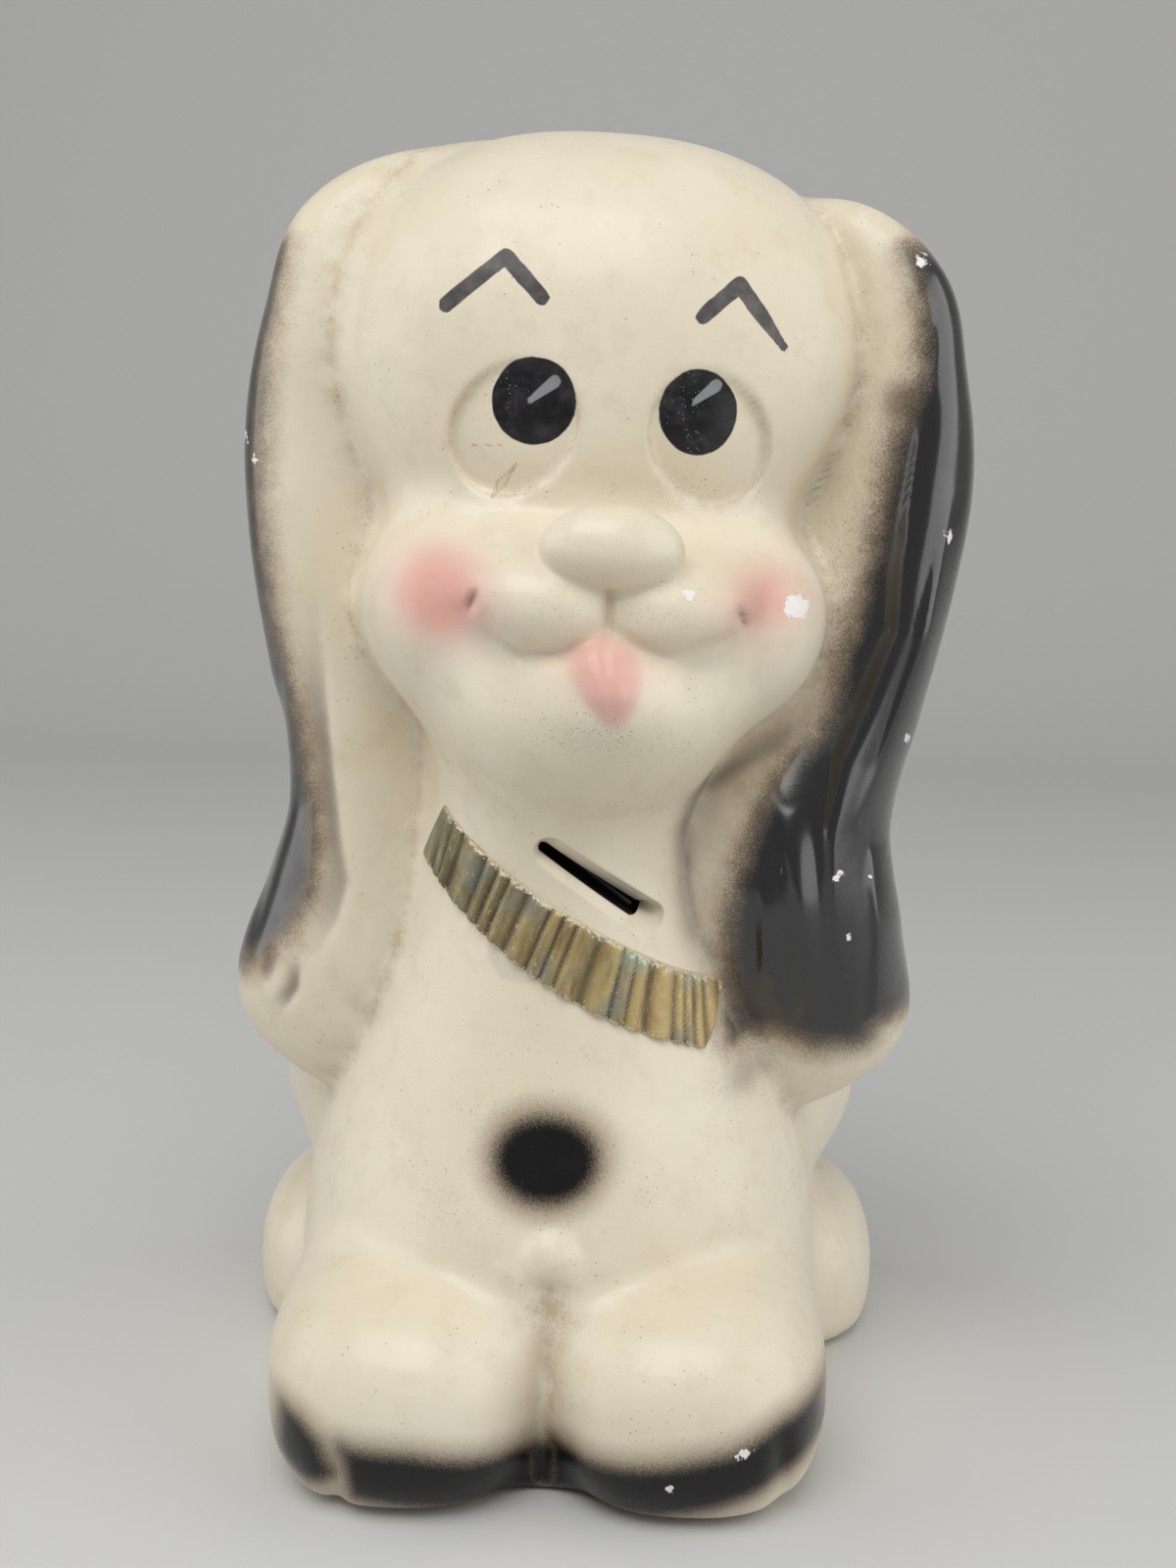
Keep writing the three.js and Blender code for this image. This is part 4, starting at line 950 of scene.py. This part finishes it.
def painted_plaster():
    """Cream lacquer over plaster: clouded and specked, brown dirt and painted shade in the creases, sprayed
    pink and black with brown, grainy edges, overspray and painted shade in spots, mauve lines of painted
    shade, brushed brows and pupils, chips down to white plaster, and painted shade in the slit."""
    f = Finish("painted_plaster", CREAM)
    # Lacquer, its specks, and the dirt, painted shade and grit in the creases.
    cloud = f.noise(55, 4)
    grain = f.noise(0.7, 2, 0.6)
    coarse = f.noise(6, 4, 0.6)
    blot = f.noise(18, 4, 0.6)
    f.lay(f.step(cloud, 0.3, 0.7), DEEP_CREAM)
    f.wash(f.noise(9, 4, 0.65), 0.48, 0.72, 0.35, YELLOWED)
    specks = f.times(f.dots(2.4, 0.06, 0.12), f.step(blot, 0.47, 0.6))
    f.lay(f.times(specks, 0.65), SPECK)
    dots = f.times(f.dots(1.5, 0.07, 0.13), f.step(f.noise(14, 3, 0.6), 0.52, 0.66))
    f.lay(f.times(dots, 0.5), DOT)
    # Dirt and painted shade in the creases, along the eye rims and between the paws.
    dirt_and_shade = f.times(f.spot("shade_and_dirt"), f.step(f.sum(coarse, f.times(grain, 0.35)), 0.45, 0.9))
    f.lay(f.times(dirt_and_shade, 0.5), DIRT_AND_SHADE)
    grit = f.times(f.dots(1.2, 0.14, 0.24), f.times(dirt_and_shade, f.step(blot, 0.42, 0.6)))
    f.lay(f.times(grit, 0.7), GRIT)
    # Sprayed colour: pink, overspray and painted shade, mauve painted shade, and the black, with grainy
    # edges.
    dust = f.swing(f.noise(0.45, 2, 0.6), 8)
    rosy = f.sum(f.spot("blush"), f.times(dust, 0.025))
    f.wash(rosy, 0.05, 1.4, 0.9, CHEEK_PINK)
    f.wash(f.spot("tongue"), -3.0, 0.2, 0.8, TONGUE_PINK)
    # Overspray and painted shade.
    mist_and_shade = f.times(f.spot("mist_and_shade"), f.step(f.sum(f.spot("mist_and_shade"), f.times(dust, 0.12)), 0.1, 0.9))
    f.lay(f.times(mist_and_shade, 0.6), OVERSPRAY_AND_SHADE)
    pepper = f.times(f.dots(1.1, 0.12, 0.2), f.step(f.spot("mist_and_shade"), 0.05, 0.3))
    f.lay(f.times(pepper, 0.55), PEPPER)
    # Mauve painted shade in the mouth corners and along the ears' locks and edges.
    f.lay(f.times(f.spot("mauve_painted_shade"), 0.72), MAUVE_SHADE_COLOUR)
    f.wash(f.spot("grey"), -0.8, 0.8, 0.45, GREY)
    drift = f.swing(coarse, 5)
    ear = f.sum(f.spot("ear_black"), f.sum(dust, drift))
    f.wash(ear, -10, 1, 0.8, EAR_FRINGE)
    black_ear = f.step(ear, -5, 4.5)
    f.lay(black_ear, EAR_BLACK)
    wear = f.step(f.noise(2.6, 4, 0.7, (1, 1, 0.14)), 0.66, 0.74)
    f.lay(f.times(f.times(wear, black_ear), 0.3), EAR_WORN)
    spray = f.sum(f.spot("spray_black"), f.times(dust, 0.6))
    f.wash(spray, -10, 0.5, 0.8, SPRAY_FRINGE)
    black_spray = f.step(spray, -4, 2.0)
    f.lay(black_spray, SPRAY_BLACK)
    # Brushwork of the face, with uneven edges.
    edge = f.swing(coarse, 0.9)
    brow = f.step(f.sum(f.spot("brow"), edge), -0.15, 0.2)
    streak = f.noise(4, 3, 0.6)
    f.lay(brow, f.over(f.step(streak, 0.35, 0.7), BROW_DARK, BROW_PALE))
    pupil = f.step(f.sum(f.spot("pupil"), edge), -0.2, 0.25)
    mottled = f.over(f.step(streak, 0.4, 0.75), PUPIL_DARK, PUPIL_PALE)
    fleck = f.times(f.dots(1.1, 0.1, 0.17), f.step(blot, 0.5, 0.62))
    mottled = f.over(f.times(fleck, 0.6), mottled, PUPIL_FLECK)
    f.lay(pupil, mottled)
    f.wash(f.sum(f.spot("glint"), f.times(edge, 0.5)), -0.15, 0.3, 0.85, GLINT_GREY)
    # Wear: brown stains, chips and the bare foot; then painted shade in the slit.
    f.wash(f.spot("stain"), -0.15, 0.3, 0.55, STAIN_BROWN)
    ragged = f.swing(f.noise(2.6, 4, 0.7), 7)
    chip = f.step(f.sum(f.spot("chip"), ragged), -0.1, 0.2)
    f.lay(chip, CHIP_WHITE)
    f.lay(f.spot("bare"), FOOT_PLASTER)
    # Painted shade inside the slit, where the hollow would be dark.
    f.lay(f.step(f.spot("slit"), 0.3, 0.7), SLIT_SHADE)
    # Gloss: the black shines more, and chips and the foot are chalky. The height is for the bump.
    black = f.sum(f.sum(black_ear, black_spray, "MAXIMUM"), f.times(pupil, 0.7), "MAXIMUM")
    dull = f.sum(f.step(coarse, 0.3, 0.75, 0.38, 0.5), f.times(black, 0.2), "SUBTRACT")
    rough = f.sum(dull, f.times(f.sum(chip, f.spot("bare"), "MAXIMUM"), 0.4))
    height = f.sum(f.times(grain, 0.08), f.times(coarse, 0.42))
    height = f.sum(height, f.times(specks, -0.25))
    height = f.sum(height, f.times(chip, -0.35))
    f.fill(f.shader, {"Coat Weight": f.step(black_ear, 0, 1, 0.15, 0.8), "Coat Roughness": 0.16})
    f.fill(f.shader, {"Coat IOR": 1.7, "Specular IOR Level": 0.3})
    return f.finish(rough, height, 0.45)


front.data.materials.append(painted_plaster())
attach(front, "figure")
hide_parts("front_shell")

# Back half of the casting: back of the head and ears, haunches and tail. Plaster from the other half of
# the mould, with the same lacquer, and black sprayed round from the ears' sides.
BACK_COLUMNS, BACK_ROWS, BACK_GAIN = 220, 170, 0
back_grid = half_skin(1, BACK_COLUMNS, BACK_ROWS, BACK_GAIN)
back_foot = foot_ring(back_grid[:, 0], FOOT_RINGS)
back_points = np.concatenate([back_grid.reshape(-1, 3), back_foot.reshape(-1, 3)])
back_skin_quads = grid_quads(BACK_COLUMNS + 1, BACK_ROWS + 1)[:, ::-1]
back_foot_quads = grid_quads(back_foot.shape[0], back_foot.shape[1], back_grid[..., 0].size)
back_quads = np.concatenate([back_skin_quads, back_foot_quads])
back = new_mesh("back_casting", to_frame(back_points), back_quads)
paint_figure(back, back_points)
set_values(back, {"bare": np.concatenate([np.zeros(back_grid[..., 0].size), past_first(back_foot)])})
back.data.materials.append(front.data.materials[0])
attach(back, "figure")
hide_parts("back_shell")

# Collar: a fluted band moulded in one with the neck, brushed with bronze paint. It drops towards the
# figure's left, and both its ends stop short of the ears at the front.
COLLAR_TILT, COLLAR_WIDTH, COLLAR_HEIGHT, COLLAR_ROOT = math.radians(31), 18.6, 2.3, 3
FLUTES, FLUTE_DEPTH, COLLAR_END = 42, 1.6, 1.6
# Length of the paint's pattern that goes with one flute, in metres.
STREAKS_TO_FLUTE = 0.0042
# Each half: which side it lies on, first and last angle, steps, height at the axis, fall towards the front,
# and how much narrower it is at its end.
COLLAR_SPANS = {
    "collar_front": (-1, -39, 42, 640, 158, 0.22, 0.26),
    "collar_back": (1, -62, 62, 420, 145, 0, 0),
}


def collar_band(side, left, right, steps, level, fall, narrow):
    """A profile carried round the neck: at each angle the band's foot lies on the neck, found along rays
    square to its axis, its top is raised in uneven flutes that stand more upright towards the right, and its
    ends are rounded down into the neck. Gives the points, the cells and each point's place on the band."""
    # The profile: places across in widths, and shares of the height, with a root that lies below the neck.
    across = np.concatenate([[-0.5, -0.5, -0.495, -0.475, -0.44], np.linspace(-0.38, 0.38, 11),
                             [0.44, 0.475, 0.495, 0.5, 0.5]])[None, :]
    lift = np.concatenate([[-1, 0.3, 0.6, 0.85, 0.97], np.ones(11), [0.97, 0.85, 0.6, 0.3, -1]])[None, :]
    share = np.linspace(0, 1, steps)[:, None]
    edge = across * COLLAR_WIDTH * (1 - narrow * ramp_up(share, 0.45, 1))
    angle = np.radians(left + (right - left) * share + (4 + 2 * share) * across)
    drop = -math.tan(COLLAR_TILT) * np.sin(angle) - fall * np.cos(angle)
    out = np.stack([np.sin(angle), side * np.cos(angle), drop], -1)
    out = out / np.linalg.norm(out, axis=-1, keepdims=True)
    start = np.zeros((steps, across.size, 3))
    start[..., 0] = math.sin(COLLAR_TILT) * edge
    start[..., 1] = SEAM_Y
    start[..., 2] = level + math.cos(COLLAR_TILT) * edge
    reach = np.full(start.shape[:2], 120.0)
    for _ in range(60):
        p = start + reach[..., None] * out
        ux, uz = upright(p[..., 0], p[..., 2])
        reach -= 0.6 * trunk(ux, p[..., 1], uz)
    turn = FLUTES * angle / math.pi + (0.2 + 0.6 * share) * across
    turn = turn + 0.30 * np.sin(1.7 * turn) + 0.22 * np.sin(0.63 * turn + 1)
    flute = np.abs(np.sin(math.pi * turn)) ** 0.75
    flute = 1 - (1 - flute) * ramp_up(share, 0.02, 0.1)
    foot = start + reach[..., None] * out
    run = np.cumsum(np.linalg.norm(np.diff(foot, axis=0, prepend=0), axis=-1), axis=0)
    run -= run[:1]
    end = np.clip(np.minimum(run, run[-1:] - run) / COLLAR_END, 0, 1)
    rounded = np.sqrt(1 - (1 - end) ** 2)
    top = (COLLAR_HEIGHT - FLUTE_DEPTH * (1 - flute)) * rounded
    height = np.where((lift < 0) | (end == 0), -COLLAR_ROOT, lift * top)
    grid = start + (reach + height)[..., None] * out
    quads = grid_quads(steps, across.size)
    place = {
        "flute": flute, "share": share + 0 * edge, "run": STREAKS_TO_FLUTE * turn, "edge": edge / 1000,
        "rim": np.minimum((0.5 - np.abs(across)) * COLLAR_WIDTH, end * COLLAR_END),
    }
    place = {name: value.ravel() for name, value in place.items()}
    return grid.reshape(-1, 3), quads if side < 0 else quads[:, ::-1], place


# Colours of the bronze paint: the ground from left to right, streaks, broad patches with painted reflection,
# painted shade in the flutes, and what lies on them.
OLIVE, STRAW, OCHRE, UMBER = (106, 100, 72), (180, 156, 104), (182, 162, 112), (98, 82, 50)
BLUE_GREY_REFLECTION, RUST, GREEN_GREY = (120, 124, 114), (134, 98, 62), (126, 128, 106)
FLUTE_SHADE, VERDIGRIS, WORN_CREAM = (66, 57, 38), (140, 172, 158), (216, 204, 178)


def bronze_paint():
    """Dull bronze paint brushed along the flutes in olive, ochre and rust, with blue-grey patches of painted
    reflection and painted shade in their bottoms, a little verdigris, and worn to cream at the edges and in
    flecks."""
    f = Finish("bronze_paint", OLIVE)
    on_band = f.node("CombineXYZ", {"X": f.spot("run"), "Y": f.spot("edge")}).outputs["Vector"]
    streak = f.noise(3.2, 4, 0.65, (1, 0.16, 1), on_band)
    broad = f.noise(9, 3, 0.5, (1, 0.5, 1), on_band)
    patchy = f.noise(11, 4, 0.6)
    grain = f.noise(1.0, 3, 0.6)
    flute, share = f.spot("flute"), f.spot("share")
    f.lay(f.step(share, 0.05, 0.9), STRAW)
    f.wash(streak, 0.44, 0.68, 0.7, OCHRE)
    f.wash(streak, 0.5, 0.3, 0.8, UMBER)
    # Painted reflection in blue-grey patches.
    f.wash(broad, 0.52, 0.66, 0.7, BLUE_GREY_REFLECTION)
    f.wash(broad, 0.46, 0.32, 0.55, RUST)
    f.wash(share, 0.14, 0.0, 0.6, GREEN_GREY)
    # Painted shade in the bottoms of the flutes.
    f.wash(flute, 0.8, 0.1, 0.72, FLUTE_SHADE)
    high = f.step(f.sum(f.spot("edge"), 0.003, "SUBTRACT"), 0, 0.005)
    green = f.times(high, f.step(f.sum(patchy, f.step(share, 0.4, 0.6, 0, 0.1)), 0.6, 0.68))
    f.lay(f.times(green, 0.6), VERDIGRIS)
    worn_rim = f.step(f.sum(f.spot("rim"), f.swing(grain, 5)), 1.0, 0.2, 0, 0.85)
    flecks = f.step(f.sum(grain, f.times(patchy, 0.4)), 0.86, 0.94, 0, 0.75)
    f.lay(f.sum(worn_rim, flecks, "MAXIMUM"), WORN_CREAM)
    height = f.sum(f.times(grain, 0.2), f.times(streak, 0.6))
    f.fill(f.shader, {"Metallic": 0.2})
    return f.finish(f.step(grain, 0.3, 0.7, 0.34, 0.55), height, 0.7)


bronze = bronze_paint()
for name, span in COLLAR_SPANS.items():
    points, quads, place = collar_band(*span)
    band = new_mesh(name, to_frame(points), quads)
    set_values(band, place)
    band.data.materials.append(bronze)
    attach(band, "figure")

# Foot plate: a cast plaster disc that closes the pour opening from below. It is left unpainted, sits in the
# rebate of both halves, and has the stopper's hole in it. Its shape is the solid's own.
PLASTER, DAMP_PLASTER, PINHOLE = (216, 208, 190), (204, 194, 172), (140, 126, 104)


def bare_plaster():
    """Unpainted plaster: chalky, faintly yellow, with pinholes."""
    f = Finish("bare_plaster", PLASTER)
    cloud = f.noise(24, 4)
    grain = f.noise(1.0, 3, 0.6)
    holes = f.dots(4, 0.05, 0.12)
    f.lay(f.step(cloud, 0.3, 0.7), DAMP_PLASTER)
    f.lay(f.times(holes, 0.6), PINHOLE)
    height = f.sum(f.times(grain, 0.4), f.times(holes, -0.5))
    return f.finish(f.step(grain, 0.3, 0.7, 0.8, 0.95), height, 0.5)


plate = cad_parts["base_plate"]
plate.data.materials.clear()
plate.data.materials.append(bare_plaster())

# Coin stopper: a moulded rubber plug with a flange, pushed into the hole of the foot plate and pulled out by
# hand. Its shape is the solid's own too.
RUBBER, DUSTY_RUBBER = (38, 36, 35), (74, 71, 68)


def black_rubber():
    """Moulded black rubber, greyed by dust."""
    f = Finish("black_rubber", RUBBER)
    dust = f.noise(8, 4)
    grain = f.noise(0.8, 2)
    f.lay(f.step(dust, 0.4, 0.75), DUSTY_RUBBER)
    return f.finish(f.step(dust, 0.3, 0.7, 0.55, 0.75), grain, 0.25)


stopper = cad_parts["coin_stopper"]
stopper.data.materials.clear()
stopper.data.materials.append(black_rubber())
